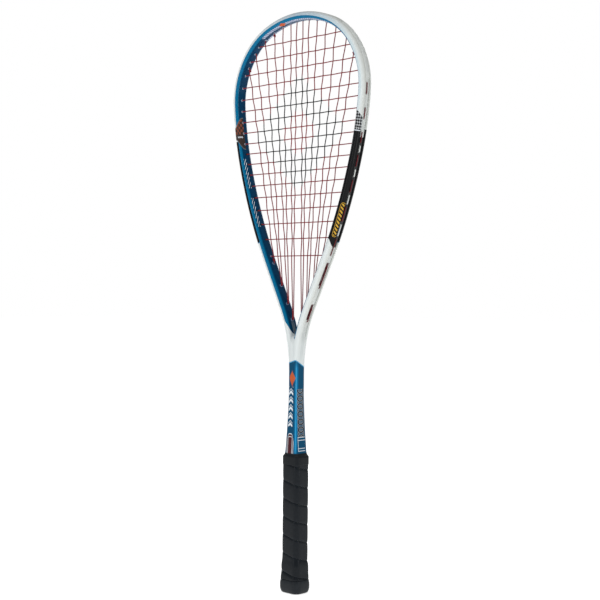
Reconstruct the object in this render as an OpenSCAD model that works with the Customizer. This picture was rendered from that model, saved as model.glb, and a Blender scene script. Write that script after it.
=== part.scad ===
// Squash racket: a hollow moulded frame, its grommets and strings, and a wrapped handle.
// +Z runs from the butt to the tip of the head, the string bed lies in the XZ plane,
// and the origin is the centre of the butt's flat end. Millimetres.

/* [Head outline] */
// Overall length, butt to tip
total_length = 686; // [676:1:686]
// Radius of the crown
crown_radius = 127; // [124:1:130]
// Turn of each half of the crown, in degrees
crown_turn = 22.5; // [22:0.1:23]
// Radius of the shoulders, down to the widest part
shoulder_radius = 88; // [87:0.5:89]
// Turn of a shoulder, in degrees
shoulder_turn = 72; // [71.5:0.1:72.5]
// Radius below the widest part of the head
flank_radius = 420; // [412:1:428]
// Turn below the widest part, in degrees
flank_turn = 9.6; // [9.4:0.1:9.8]
// Radius of the long sides
side_radius = 616; // [608:1:624]
// Turn of a long side, in degrees
side_turn = 12.1; // [11.9:0.05:12.3]
// Radius where an arm sweeps down into the shaft
throat_radius = 175; // [168:1:182]

/* [Tube] */
// Thickness of the hoop tube, in the plane of the strings
tube_thickness = 9.6; // [9.2:0.1:10]
// Depth of the hoop tube, front to back
tube_depth = 17.2; // [16.6:0.1:18]
// Wall of the moulded tube
tube_wall = 1.3; // [1:0.1:1.5]
// Width of the string groove round the outside
groove_width = 7; // [6.6:0.1:7.4]
// Depth of the string groove
groove_depth = 2.2; // [2:0.1:2.4]
// Width of the shaft
shaft_width = 12.4; // [12:0.1:13]
// Depth of the shaft
shaft_depth = 16.6; // [16:0.1:17]

/* [Strings] */
// Diameter of the string
string_d = 1.2; // [1.1:0.05:1.25]
// Drop from the tip to the first cross string
first_cross_drop = 31.4; // [31:0.1:31.8]
// Smallest gap between cross strings above the middle
upper_gap = 13.25; // [13.15:0.05:13.3]
// Smallest gap between cross strings below the middle
lower_gap = 12.75; // [12.65:0.05:12.8]

/* [Grommets] */
// Thickness of a grommet strip
strip_thickness = 0.9; // [0.8:0.05:1]
// Outer radius of a grommet barrel
barrel_radius = 1.35; // [1.25:0.05:1.45]
// Length of a barrel that shows inside the head
barrel_show = 0.9; // [0.7:0.1:1.2]

/* [Handle] */
// Height of the top of the grip
grip_top = 165; // [161:1:166]
// Width of the wrapped grip
grip_width = 27.5; // [27:0.1:28]
// Depth of the wrapped grip
grip_depth = 24; // [23.6:0.1:24.6]
// Thickness of the wrap
wrap_thickness = 1.6; // [1.4:0.1:1.8]
// Rise of the wrap in one turn
wrap_pitch = 21.5; // [20:0.5:24]
// Height of the butt cap's top edge
cap_height = 16; // [15:0.5:17]
// Half width of the butt cap at its fullest
cap_half_width = 16.2; // [15.8:0.1:16.6]

/* [Hidden] */

half_thick = tube_thickness / 2;
half_deep = tube_depth / 2;
hoop_power = 2.5;        // 2 is an ellipse, and more is boxier
shaft_power = 4;
leg_offset = 1.5;        // each leg of the tube stands this far from the middle of the shaft
string_r = string_d / 2;
layer = string_r + 0.02; // mains lie this far behind the middle plane and crosses this far before it

// ---- The tube's centreline: a chain of arcs from the crown down one side ----
// A stretch is [radius, turn], a negative radius bends the other way, and [0, length] is straight.
// A place on the line is [x, z, heading], where the heading is 0 along +X and 90 down.
function stretch_length(g) = g[0] == 0 ? g[1] : abs(g[0]) * g[1] * PI / 180;
function advance(p, g, d) = g[0] == 0
    ? [p[0] + d * cos(p[2]), p[1] - d * sin(p[2]), p[2]]
    : let (h = p[2] + d / g[0] * 180 / PI)
        [p[0] + g[0] * (sin(h) - sin(p[2])), p[1] + g[0] * (cos(h) - cos(p[2])), h];

head_arcs = [
    [crown_radius, crown_turn], [shoulder_radius, shoulder_turn], [flank_radius, flank_turn],
    [side_radius, side_turn]
];
crown_place = [0, total_length - edge_u([half_thick, half_deep, hoop_power], groove_width / 2), 0];
function after(stretches, i) = i == 0
    ? crown_place
    : advance(after(stretches, i - 1), stretches[i - 1], stretch_length(stretches[i - 1]));
arm_start = after(head_arcs, len(head_arcs));
throat_turn = arm_start[2] - 90;
arm_length = (arm_start[0] - leg_offset - throat_radius * (1 - cos(throat_turn))) / sin(throat_turn);
stretches = concat(head_arcs, [[0, arm_length], [-throat_radius, throat_turn]]);
lengths = [for (g = stretches) stretch_length(g)];
places = [for (i = [0 : len(stretches)]) after(stretches, i)];
function reach(i) = i == 0 ? 0 : reach(i - 1) + lengths[i - 1];
throat_begins = reach(len(stretches) - 1);
throat_ends = reach(len(stretches));
shaft_top = places[len(stretches)][1];

function walk(s, i = 0) = i == len(stretches)
    ? advance(places[i], [0, 1], s)
    : s <= lengths[i] ? advance(places[i], stretches[i], s) : walk(s - lengths[i], i + 1);
function place(s) = s < 0 ? let (p = walk(-s)) [-p[0], p[1], -p[2]] : walk(s);
function at(s, u, v) = let (p = place(s)) [p[0] + sin(p[2]) * u, v, p[1] + cos(p[2]) * u];

// ---- The tube's section, which changes along the line ----
flare_top = 238;
flare_power = 1.5;
flare_width = 4.2;       // the collar above the grip is this much wider each side than the shaft
flare_depth = 2.6;
core_half = [8, 8.8];    // half width and half depth of the tube inside the handle
core_step = 3;           // the collar narrows to the core over this height, under the grip
core_bottom = 8;
function clamp01(t) = min(max(t, 0), 1);
function ease(t) = let (c = clamp01(t)) c * c * (3 - 2 * c);
function mix(a, b, t) = a + (b - a) * t;
function flare(z) = pow(clamp01((flare_top - z) / (flare_top - grip_top)), flare_power);
function shaft_half(z) = z < grip_top - core_step
    ? core_half
    : [shaft_width / 2 + flare_width * flare(z), shaft_depth / 2 + flare_depth * flare(z)];
boxy_from = 24;          // the hoop's oval turns into the shaft's box this far into the throat's arc
boxy_over = 30;
function throat_share(s) = ease((abs(s) - throat_begins - boxy_from) / boxy_over);
function tube_half(s) = let (t = throat_share(s), h = shaft_half(place(s)[1]))
    [mix(half_thick, h[0] - leg_offset, t), mix(half_deep, h[1], t), mix(hoop_power, shaft_power, t)];
groove_fade = 14;
groove_ends = throat_begins + 44;
function groove_at(s) = 0.05 + (groove_depth - 0.05) * ease((groove_ends - abs(s)) / groove_fade);
function spow(x, p) = sign(x) * pow(abs(x), p);
function edge_u(h, v) = h[0] * pow(1 - pow(abs(v) / h[1], h[2]), 1 / h[2]);
floor_u = edge_u([half_thick, half_deep, hoop_power], groove_width / 2) - groove_depth;

// Outer section: a boxy oval with the groove's floor in its outer side
section_steps = 16;
function outer_section(s) =
    let (h = tube_half(s), w = groove_width / 2, lip = edge_u(h, w))
    let (a0 = atan2(spow(w / h[1], h[2] / 2), spow(lip / h[0], h[2] / 2)))
    concat(
        [[lip - groove_at(s), -w], [lip - groove_at(s), w]],
        [for (i = [0 : section_steps - 1])
            let (a = mix(a0, 360 - a0, i / (section_steps - 1)))
            [h[0] * spow(cos(a), 2 / h[2]), h[1] * spow(sin(a), 2 / h[2])]]
    );
// Inner section: the hollow, one wall inside the skin and behind the groove
hollow_steps = 12;
function inner_section(s) =
    let (h = tube_half(s), g = groove_at(s))
    let (a = h[0] - tube_wall - g / 2, b = h[1] - tube_wall)
    [for (i = [0 : hollow_steps - 1]) let (t = i * 360 / hollow_steps)
        [-g / 2 + a * spow(cos(t), 2 / 2.6), b * spow(sin(t), 2 / 2.6)]];

// A closed solid through rings of equal size
module loft(rings) {
    n = len(rings[0]);
    m = len(rings);
    sides = [for (i = [0 : m - 2], j = [0 : n - 1])
        [i * n + j, i * n + (j + 1) % n, (i + 1) * n + (j + 1) % n, (i + 1) * n + j]];
    halves = [for (f = sides) each [[f[0], f[1], f[2]], [f[0], f[2], f[3]]]];
    first = [for (j = [0 : n - 1]) n - 1 - j];
    last = [for (j = [0 : n - 1]) (m - 1) * n + j];
    polyhedron(points = [for (r = rings) each r], faces = concat([first], halves, [last]), convexity = 8);
}
function ring(s, section) = [for (q = section) at(s, q[0], q[1])];

// Stations of the frame's rings: so many steps to each stretch, then chosen heights down the shaft
steps = [5, 10, 5, 8, 3, 10];
head_stations = [for (i = [0 : len(stretches) - 1], j = [0 : steps[i] - 1])
    reach(i) + lengths[i] * j / steps[i]];
function station_at_height(z) = throat_ends + shaft_top - z;
shaft_heights = [shaft_top, 226, 208, 192, 176, grip_top + 1, grip_top - core_step - 0.01, core_bottom];
stations = concat(head_stations, [for (z = shaft_heights) station_at_height(z)]);

// ---- Where the strings go ----
cross_count = 18;
middle_gap = 9;          // gaps are counted from the top, and the closest are about this one
upper_growth = 0.052;
lower_growth = 0.12;
function gap(i) = let (k = (i - middle_gap) * (i - middle_gap))
    i < middle_gap ? upper_gap + upper_growth * k : lower_gap + lower_growth * k;
function cross_z(i) = i == 1 ? total_length - first_cross_drop : cross_z(i - 1) - gap(i - 1);
function find_height(z, lo, hi, n = 24) = let (mid = (lo + hi) / 2)
    n == 0 ? mid : walk(mid)[1] > z ? find_height(z, mid, hi, n - 1) : find_height(z, lo, mid, n - 1);
cross_stations = [for (i = [1 : cross_count]) find_height(cross_z(i), 20, throat_begins)];

// Throat holes, A to D down an arm, by the drop from the tip to each on the inner face
throat_drops = [295.6, 322.7, 344.3, 363];
function inner_z(s) = at(s, -half_thick, 0)[2];
function find_inner(z, lo, hi, n = 24) = let (mid = (lo + hi) / 2)
    n == 0 ? mid : inner_z(mid) > z ? find_inner(z, mid, hi, n - 1) : find_inner(z, lo, mid, n - 1);
throat_stations = [for (d = throat_drops) find_inner(total_length - d, reach(4), throat_ends)];

// Main strings of one side, from the outermost in: the throat hole of each, and where its top is.
// The outer two turn into holes between cross strings, at these drops from the tip, and the rest
// reach the crown at these x.
main_count = 7;
main_throat = [0, 1, 1, 2, 2, 3, 3];
shoulder_drops = [54.8, 38.7];
crown_x = [57.7, 43, 27.9, 15.1, 4.7];
pair_split = 0.7;        // two strings in one hole stand this far either side of it
tube_mouth = half_thick + barrel_show + 0.2;
function throat_end(k) = let (side = k == 0 ? 0 : k % 2 == 1 ? 1 : -1)
    at(throat_stations[main_throat[k]], -tube_mouth, layer) + [side * pair_split, 0, 0];
shoulder_stations = [for (d = shoulder_drops) find_height(total_length - d, 20, throat_begins)];
turn_room = 0.9;         // a main turns this far short of its hole's collar, and stops just under the turn
function shoulder_turn_at(k) = let (p = walk(shoulder_stations[k]))
    [p[0] - half_thick / sin(p[2]) - barrel_show - turn_room, layer, p[1]];
function find_x(x, lo, hi, n = 24) = let (mid = (lo + hi) / 2)
    n == 0 ? mid : walk(mid)[0] < x ? find_x(x, mid, hi, n - 1) : find_x(x, lo, mid, n - 1);
crown_stations = [for (x = crown_x) find_x(x * 1.01, 0, 90)];
function unit(v) = v / norm(v);
// Outer ends lie just above a strip's outer face, where the run to the next hole starts
function crown_end(k) = let (s = crown_stations[k - 2], d = unit(at(s, 0, layer) - throat_end(k)), p = place(s))
    at(s, 0, layer) + d * (floor_u + strip_thickness) / (d[0] * sin(p[2]) + d[2] * cos(p[2]));
function main_top(k) = k < 2 ? shoulder_turn_at(k) - [0, 0, string_d + 0.05] : crown_end(k);

// ---- Small shapes ----
module both() {
    children();
    mirror([1, 0, 0]) children();
}
// A round bar between two points of one y
module bar(p, q, r, fn = 24) {
    d = q - p;
    translate(p) rotate([0, atan2(d[0], d[2]), 0]) cylinder(r = r, h = norm(d), $fn = fn);
}
// The line of a hole: from the groove's floor to past the inner face
function hole_outer(p, d, k, past) = p + d * (floor_u + past) / k;
function hole_inner(p, d, k, past) = p - d * (half_thick + past) / k;
// A hole's middle, outward direction, and how squarely that meets the tube
function cross_hole(i) = let (p = walk(cross_stations[i - 1])) [[p[0], -layer, p[1]], [1, 0, 0], sin(p[2])];
function crown_hole(k) = let (s = crown_stations[k - 2], p = place(s), m = at(s, 0, layer))
    let (d = unit(m - throat_end(k))) [m, d, d[0] * sin(p[2]) + d[2] * cos(p[2])];
function shoulder_hole(k) = let (p = walk(shoulder_stations[k])) [[p[0], layer, p[1]], [1, 0, 0], sin(p[2])];
function throat_hole(i) = let (s = throat_stations[i], p = place(s)) [at(s, 0, 0), [sin(p[2]), 0, cos(p[2])], 1];
throat_barrel_radius = 2;
throat_bore = 1.45;
fit = 0.1;               // radial room of a barrel in its hole
bore_radius = string_r + 0.15;

module barrel_holes(holes, r, fn) {
    for (h = holes) bar(hole_outer(h[0], h[1], h[2], 3), hole_inner(h[0], h[1], h[2], 2), r, fn);
}
shoulder_holes = [for (k = [0, 1]) shoulder_hole(k)];
upper_holes = concat([for (i = [1 : 9]) cross_hole(i)], shoulder_holes);
lower_crosses = [for (i = [10 : cross_count]) cross_hole(i)];
crown_holes = [for (k = [2 : main_count - 1]) crown_hole(k)];
throat_holes = [for (i = [0 : 3]) throat_hole(i)];

// ---- Frame ----
// Each half stops at the middle plane, where its mirror image carries on
module right_half() {
    intersection() {
        children();
        translate([0, -50, -50]) cube([200, 100, total_length + 100]);
    }
}
module half_tube() {
    right_half() loft([for (s = stations) ring(s, outer_section(s))]);
}
open_stations = [for (s = stations) s == stations[len(stations) - 1] ? s + 1 : s];
module half_hollow() {
    right_half() loft([for (s = open_stations) ring(s, inner_section(s))]);
}
// An eight-sided drilled hole; each is a hull, so that the whole moulding is built as one mesh
module drilled(h, r) {
    hull() bar(hole_outer(h[0], h[1], h[2], 3), hole_inner(h[0], h[1], h[2], 2), r, 8);
}
// The web that closes the crotch between the arms, with a round top
crotch_z = 304;
crotch_radius = 3.2;
web_depth = 12.4;
web_half_width = 6;
web_height = 34;
module web() {
    rotate([90, 0, 0]) translate([0, crotch_z, -web_depth / 2]) linear_extrude(web_depth) difference() {
        translate([-web_half_width, -web_height]) square([2 * web_half_width, web_height + crotch_radius]);
        translate([0, crotch_radius]) circle(crotch_radius, $fn = 20);
    }
}
module frame() {
    color([0.05, 0.3, 0.45]) difference() {
        union() {
            both() half_tube();
            web();
        }
        both() half_hollow();
        both() for (h = concat(upper_holes, lower_crosses, crown_holes)) drilled(h, barrel_radius + fit);
        both() for (h = throat_holes) drilled(h, throat_barrel_radius + fit);
    }
}

// ---- Grommets ----
strip_half = groove_width / 2 - 0.2;
strip_base = floor_u + 0.02;
flat_strip = [
    [strip_base, -strip_half], [strip_base + strip_thickness, -strip_half],
    [strip_base + strip_thickness, strip_half], [strip_base, strip_half]
];
// The bumper has a rail along each edge, and the strings lie between the rails
rail_top = half_thick - 0.3;
rail_inner = strip_half - 1.1;
railed_strip = [
    [strip_base, -strip_half], [rail_top, -strip_half], [rail_top, -rail_inner],
    [strip_base + strip_thickness, -rail_inner], [strip_base + strip_thickness, rail_inner],
    [rail_top, rail_inner], [rail_top, strip_half], [strip_base, strip_half]
];
module strip(from, to, section, n) {
    loft([for (i = [0 : n]) ring(mix(from, to, i / n), section)]);
}
module barrels(holes, r) {
    for (h = holes)
        bar(hole_outer(h[0], h[1], h[2], strip_thickness / 2), hole_inner(h[0], h[1], h[2], barrel_show), r);
}
module grommets(from, to, holes, r, bore, section, n) {
    difference() {
        union() {
            strip(from, to, section, n);
            barrels(holes, r);
        }
        barrel_holes(holes, bore, 24);
    }
}
strip_gap = 0.4;
bumper_ends = (crown_stations[0] + cross_stations[0]) / 2;
upper_ends = (cross_stations[8] + cross_stations[9]) / 2;
throat_strip_begins = (cross_stations[16] + cross_stations[17]) / 2;
throat_strip_ends = throat_stations[3] + 7;
module head_bumper() {
    color([0.85, 0.87, 0.9]) difference() {
        union() {
            strip(-bumper_ends, bumper_ends, railed_strip, 20);
            both() barrels(crown_holes, barrel_radius);
        }
        both() barrel_holes(crown_holes, bore_radius, 24);
    }
}
module right_upper_grommets() {
    color([0.85, 0.87, 0.9])
        grommets(bumper_ends + strip_gap, upper_ends, upper_holes, barrel_radius, bore_radius, flat_strip, 14);
}
module left_upper_grommets() {
    mirror([1, 0, 0]) right_upper_grommets();
}
module right_lower_grommets() {
    color([0.8, 0.8, 0.82])
        grommets(upper_ends + strip_gap, throat_strip_begins - strip_gap,
            [for (i = [10 : 17]) cross_hole(i)], barrel_radius, bore_radius, flat_strip, 12);
}
module left_lower_grommets() {
    mirror([1, 0, 0]) right_lower_grommets();
}
module right_throat_grommets() {
    color([0.8, 0.8, 0.82]) difference() {
        union() {
            strip(throat_strip_begins, throat_strip_ends, flat_strip, 8);
            barrels(throat_holes, throat_barrel_radius);
            barrels([cross_hole(cross_count)], barrel_radius);
        }
        barrel_holes(throat_holes, throat_bore, 24);
        barrel_holes([cross_hole(cross_count)], bore_radius, 24);
    }
}
module left_throat_grommets() {
    mirror([1, 0, 0]) right_throat_grommets();
}

// ---- Strings ----
module main_strings() {
    color([0.45, 0.12, 0.16]) both() {
        for (k = [0 : main_count - 1]) bar(throat_end(k), main_top(k), string_r);
        for (k = [0, 1]) let (h = shoulder_holes[k])
            bar(shoulder_turn_at(k), hole_outer(h[0], h[1], h[2], strip_thickness), string_r);
    }
}
module cross_strings() {
    color([0.45, 0.12, 0.16]) for (i = [1 : cross_count]) {
        h = cross_hole(i);
        outer = hole_outer(h[0], h[1], h[2], strip_thickness);
        bar([-outer[0], outer[1], outer[2]], outer, string_r);
    }
}
// A stretch of string that lies in the groove between two holes
run_u = strip_base + strip_thickness + string_r + 0.05;
run_sides = 6;
run_lane = 0.75;         // runs of the mains lie this far behind the middle, and of the crosses before it
module run(from, to, v) {
    section = [for (j = [0 : run_sides - 1]) let (t = j * 360 / run_sides)
        [run_u + string_r * cos(t), v + string_r * sin(t)]];
    loft([for (i = [0 : 4]) ring(mix(from, to, i / 4), section)]);
}
module outer_string_runs() {
    color([0.45, 0.12, 0.16]) {
        for (i = [1 : 2 : cross_count - 1]) run(cross_stations[i - 1], cross_stations[i], -run_lane);
        mirror([1, 0, 0]) for (i = [2 : 2 : cross_count - 2])
            run(cross_stations[i - 1], cross_stations[i], -run_lane);
        both() {
            run(crown_stations[2], crown_stations[1], run_lane);
            run(crown_stations[4], crown_stations[3], run_lane);
            run(shoulder_stations[1], shoulder_stations[0], run_lane);
            for (i = [0, 2]) run(throat_stations[i] + 1, throat_stations[i + 1] - 1, run_lane);
        }
    }
}
// A tie-off knot round a string, a little inside the frame
knot_r = 1.6;
knot_inset = 3.2;
crown_knot_from = crown_end(3) - unit(crown_end(3) - throat_end(3)) * (floor_u + half_thick);
module knot(p, towards) {
    d = unit(towards - p);
    middle = p + d * knot_inset;
    difference() {
        translate(middle) sphere(r = knot_r, $fn = 24);
        bar(middle - d * 3, middle + d * 3, string_r + 0.03);
    }
}
module string_knots() {
    color([0.4, 0.1, 0.14]) {
        both() knot(main_top(0), throat_end(0));
        mirror([1, 0, 0]) knot(throat_end(0), main_top(0));
        mirror([1, 0, 0]) knot(crown_knot_from, throat_end(3));
    }
}

// ---- Handle ----
bevel = 4.5;
pallet_half = [grip_width / 2 - wrap_thickness, grip_depth / 2 - wrap_thickness];
pallet_bottom = 4;
pallet_top = grip_top - core_step - 1;
function octagon(h, c) = [
    [h[0], -h[1] + c], [h[0], h[1] - c], [h[0] - c, h[1]], [-h[0] + c, h[1]],
    [-h[0], h[1] - c], [-h[0], -h[1] + c], [-h[0] + c, -h[1]], [h[0] - c, -h[1]]
];
core_steps = 24;
function boxy_oval(h, power) = [for (i = [0 : core_steps - 1]) let (t = i * 360 / core_steps)
    [h[0] * spow(cos(t), 2 / power), h[1] * spow(sin(t), 2 / power)]];
staple_z = 24;
staple_span = 7;
staple_wire = 0.7;
staple_depth = 2.4;
sleeve_wall = 1;
staple_seat = pallet_half[1] + sleeve_wall;
module staple(room) {
    w = staple_wire + 2 * room;
    translate([-staple_span / 2 - w / 2, staple_seat - staple_depth, staple_z - w / 2])
        cube([w, staple_depth, w]);
    translate([staple_span / 2 - w / 2, staple_seat - staple_depth, staple_z - w / 2])
        cube([w, staple_depth, w]);
    translate([-staple_span / 2 - w / 2, staple_seat - w / 2, staple_z - w / 2])
        cube([staple_span + w, w, w]);
}
module pallet() {
    difference() {
        translate([0, 0, pallet_bottom]) linear_extrude(pallet_top - pallet_bottom) difference() {
            polygon(octagon(pallet_half, bevel - 0.5));
            polygon(boxy_oval(core_half + [0.15, 0.15], shaft_power));
            translate([-20, -20]) square([40, 20.05]);
        }
        staple(0.05);
    }
}
module front_pallet() {
    color([0.82, 0.8, 0.72]) mirror([0, 1, 0]) pallet();
}
module back_pallet() {
    color([0.82, 0.8, 0.72]) pallet();
}
plug_length = 18;
module shaft_end_plug() {
    color([0.3, 0.3, 0.32]) translate([0, 0, core_bottom]) linear_extrude(plug_length)
        polygon(boxy_oval(core_half - [tube_wall + 0.25, tube_wall + 0.25], 2.6));
}
// Butt cap: a moulded cup that flares below the grip, with a thin sleeve that runs up under the wrap
cap_grow = cap_half_width - grip_width / 2;
cap_half = [cap_half_width, grip_depth / 2 + cap_grow - 0.4];
cap_floor = 3;
sleeve_top = 32;
module slab(h, c, z, t) {
    translate([0, 0, z]) linear_extrude(t) polygon(octagon(h, c));
}
module butt_cap() {
    color([0.13, 0.14, 0.15]) difference() {
        union() {
            hull() {
                slab(cap_half - [3.2, 3.2], bevel + 0.2, 0, 0.1);
                slab(cap_half - [1.1, 1.1], bevel + 0.6, 2, 0.1);
                slab(cap_half, bevel + 1, 6, 0.1);
                slab(cap_half - [0.05, 0.05], bevel + 1, 11, 0.1);
                slab(cap_half - [0.9, 0.9], bevel + 0.6, cap_height - 0.1, 0.1);
            }
            slab(pallet_half + [sleeve_wall, sleeve_wall], bevel, cap_height - 1, sleeve_top - cap_height + 1);
        }
        slab(pallet_half + [fit, fit], bevel - 0.5, cap_floor + 0.9, sleeve_top);
        translate([0, 0, -1]) scale_oval(badge_half, badge_depth + 1);
        staple(0.05);
        mirror([0, 1, 0]) staple(0.05);
    }
}
badge_half = [8, 5.5];
badge_depth = 0.9;
module scale_oval(h, t) {
    linear_extrude(t) polygon(boxy_oval(h, 2));
}
module end_badge() {
    color([0.7, 0.72, 0.75]) translate([0, 0, 0.3]) scale_oval(badge_half - [fit, fit], badge_depth - 0.35);
}
module butt_staples() {
    color([0.75, 0.76, 0.78]) {
        staple(0);
        mirror([0, 1, 0]) staple(0);
    }
}
// Grip: one flat strip wound up the handle, each turn against the last
wrap_bottom = cap_height + 0.2;
tape_shoulder = 4;     // below the grip's top by this much, the tape starts to draw in to the shaft
wrap_top = grip_top - tape_shoulder - 0.3;
wrap_steps = 16;         // rings to a turn, two for each edge of the octagon
wrap_seam = 0.25;
wrap_flare = 0.65;       // the wrap stands this much further out against the cap
flare_height = 9;
// How far the wrapped octagon stands out from the plain one, over the cap's sleeve
function over_cap(z) = mix(wrap_flare, 0, ease((z - wrap_bottom) / flare_height))
    + sleeve_wall * clamp01((sleeve_top + 8 - z) / 8);
function octagon_point(h, c, t) = let (o = octagon(h, c), i = floor(t * 8), f = t * 8 - i)
    mix(o[i % 8], o[(i + 1) % 8], f);
function wrap_point(turn, z, out) = let (g = over_cap(z), w = max(out, 0))
    let (h = pallet_half + [g + w, g + w])
    let (p = octagon_point(h, bevel - 0.5 + 0.5 * w, turn - floor(turn))) [p[0], p[1], z];
function wrap_limits(z) = min(max(z, wrap_bottom), wrap_top);
turns = (wrap_top - wrap_bottom) / wrap_pitch + 1;
function wrap_ring(turn) =
    let (low = wrap_bottom + (turn - 1) * wrap_pitch, high = low + wrap_pitch - wrap_seam)
    let (a = wrap_limits(low), b = max(wrap_limits(high), wrap_limits(low) + 0.02), bulge = wrap_thickness - 0.02)
    [
        wrap_point(turn, a, 0.06), wrap_point(turn, a, bulge - 0.5), wrap_point(turn, mix(a, b, 0.12), bulge),
        wrap_point(turn, mix(a, b, 0.88), bulge), wrap_point(turn, b, bulge - 0.5), wrap_point(turn, b, 0.06)
    ];
module grip_wrap() {
    color([0.15, 0.17, 0.18]) mirror([0, 1, 0])
        loft([for (i = [1 : floor(turns * wrap_steps) - 1]) wrap_ring(i / wrap_steps)]);
}
// The tape lies over the wrap's end, then draws in to the collar of the shaft
tape_height = 13;
tape_wall = 0.3;
module tape_solid(out, over) {
    grip_half = [grip_width / 2, grip_depth / 2] + [out, out];
    hull() {
        slab(grip_half, bevel, grip_top - tape_height - over, tape_height - tape_shoulder + over);
        slab(shaft_half(grip_top) + [0.25 + out, 0.25 + out], bevel - 1, grip_top + 0.4 + over - 0.1, 0.1);
    }
}
module finishing_tape() {
    color([0.1, 0.11, 0.12]) difference() {
        tape_solid(0.03 + tape_wall, 0);
        tape_solid(0.03, 1);
    }
}

frame();
head_bumper();
right_upper_grommets();
left_upper_grommets();
right_lower_grommets();
left_lower_grommets();
right_throat_grommets();
left_throat_grommets();
main_strings();
cross_strings();
outer_string_runs();
string_knots();
front_pallet();
back_pallet();
shaft_end_plug();
butt_cap();
butt_staples();
end_badge();
grip_wrap();
finishing_tape();
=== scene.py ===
"""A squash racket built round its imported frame.

The hoop's painted skin, the grommets, the woven strings and the wrapped handle are finer pieces
that stand for the plain CAD solids. Lengths are millimetres unless a name says otherwise.
+Z runs from the butt to the tip, the string bed lies in the XZ plane, and the front is at -Y.
"""

import math
from functools import partialmethod

import bmesh
import bpy
from mathutils import Matrix, Vector


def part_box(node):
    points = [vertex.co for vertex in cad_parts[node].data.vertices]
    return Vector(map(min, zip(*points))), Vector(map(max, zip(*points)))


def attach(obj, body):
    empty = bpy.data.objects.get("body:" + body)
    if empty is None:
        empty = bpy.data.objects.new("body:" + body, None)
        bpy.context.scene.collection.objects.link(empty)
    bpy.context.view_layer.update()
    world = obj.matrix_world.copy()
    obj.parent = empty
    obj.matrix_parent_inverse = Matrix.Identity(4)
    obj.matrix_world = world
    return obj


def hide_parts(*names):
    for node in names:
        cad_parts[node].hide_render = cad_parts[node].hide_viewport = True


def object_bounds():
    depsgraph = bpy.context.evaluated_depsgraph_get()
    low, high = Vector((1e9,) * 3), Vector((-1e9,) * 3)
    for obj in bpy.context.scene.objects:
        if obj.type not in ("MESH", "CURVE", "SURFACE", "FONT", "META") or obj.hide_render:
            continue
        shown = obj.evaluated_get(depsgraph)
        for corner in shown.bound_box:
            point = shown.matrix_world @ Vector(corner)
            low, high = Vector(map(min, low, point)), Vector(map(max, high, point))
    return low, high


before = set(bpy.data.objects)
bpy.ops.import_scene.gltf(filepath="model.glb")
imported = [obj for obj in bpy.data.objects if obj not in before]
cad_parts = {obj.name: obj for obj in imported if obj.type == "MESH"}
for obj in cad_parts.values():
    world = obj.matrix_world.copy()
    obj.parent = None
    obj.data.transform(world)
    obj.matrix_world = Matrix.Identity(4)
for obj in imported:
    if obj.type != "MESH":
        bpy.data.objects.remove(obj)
CAD_LOW, CAD_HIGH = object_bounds()
MM = 0.001
TOTAL_LENGTH = CAD_HIGH.z / MM

# ---- Camera ----
CAMERA_AZIMUTH = math.radians(44)
CAMERA_PITCH = math.radians(0.41)
CAMERA_ROLL = math.radians(0.522)
CAMERA_DISTANCE = 1.4222      # metres from the racket's axis
CAMERA_HEIGHT = 0.3566        # metres
CAMERA_SIDESTEP = 0.0033      # metres to the right of the line through the axis
CAMERA_LENS = 72
CAMERA_SENSOR = 36
CAMERA_CLIP = (0.05, 30)      # metres


def add_object(name, data):
    made = bpy.data.objects.new(name, data)
    bpy.context.scene.collection.objects.link(made)
    return made


def make_camera():
    """The photographer stands to the right of the front and aims almost level."""
    right = Vector((math.cos(CAMERA_AZIMUTH), math.sin(CAMERA_AZIMUTH), 0))
    ahead = Vector((-math.sin(CAMERA_AZIMUTH), math.cos(CAMERA_AZIMUTH), 0))
    level = Vector((0, 0, 1))
    look = ahead * math.cos(CAMERA_PITCH) - level * math.sin(CAMERA_PITCH)
    up = level * math.cos(CAMERA_PITCH) + ahead * math.sin(CAMERA_PITCH)
    side = right * math.cos(CAMERA_ROLL) + up * math.sin(CAMERA_ROLL)
    top = up * math.cos(CAMERA_ROLL) - right * math.sin(CAMERA_ROLL)
    spot = right * CAMERA_SIDESTEP - ahead * CAMERA_DISTANCE + level * CAMERA_HEIGHT
    camera = add_object("camera", bpy.data.cameras.new("camera"))
    camera.data.lens = CAMERA_LENS
    camera.data.sensor_width = CAMERA_SENSOR
    camera.data.clip_start, camera.data.clip_end = CAMERA_CLIP
    camera.matrix_world = Matrix.Translation(spot) @ Matrix((side, top, -look)).transposed().to_4x4()
    bpy.context.scene.camera = camera


make_camera()


# ---- Small arithmetic ----
def clamp(value, low=0.0, high=1.0):
    return min(max(value, low), high)


def ease(value):
    share = clamp(value)
    return share * share * (3 - 2 * share)


def mix(first, second, share):
    return first + (second - first) * share


def signed_power(value, power):
    return math.copysign(abs(value) ** power, value)


def spread(start, end, spacing):
    """Evenly spaced numbers from start up to, and without, end."""
    count = max(1, round(abs(end - start) / spacing))
    return [mix(start, end, i / count) for i in range(count)]


def circle(count):
    """Evenly spaced angles round a circle."""
    return [2 * math.pi * i / count for i in range(count)]


def mirrored(side):
    """The (out, back) points of a section's other side, in the opposite order."""
    return [(out, -back) for out, back in reversed(side)]


# ---- The tube's centreline: a chain of arcs from the crown down one side ----
# A stretch is (radius, turn in degrees), and a place is (x, z, heading), with the heading in
# radians, 0 along +X and a right angle straight down.
HEAD_ARCS = [(127, 22.5), (88, 72), (420, 9.6), (616, 12.1)]
THROAT_RADIUS = 175
LEG_OFFSET = 1.5
HOOP_HALF = (4.8, 8.6)
HOOP_POWER = 2.5
SHAFT_POWER = 4
GROOVE_WIDTH = 7
GROOVE_DEPTH = 2.2
HALVINGS = 40                 # enough to find a station to the last digit


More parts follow.
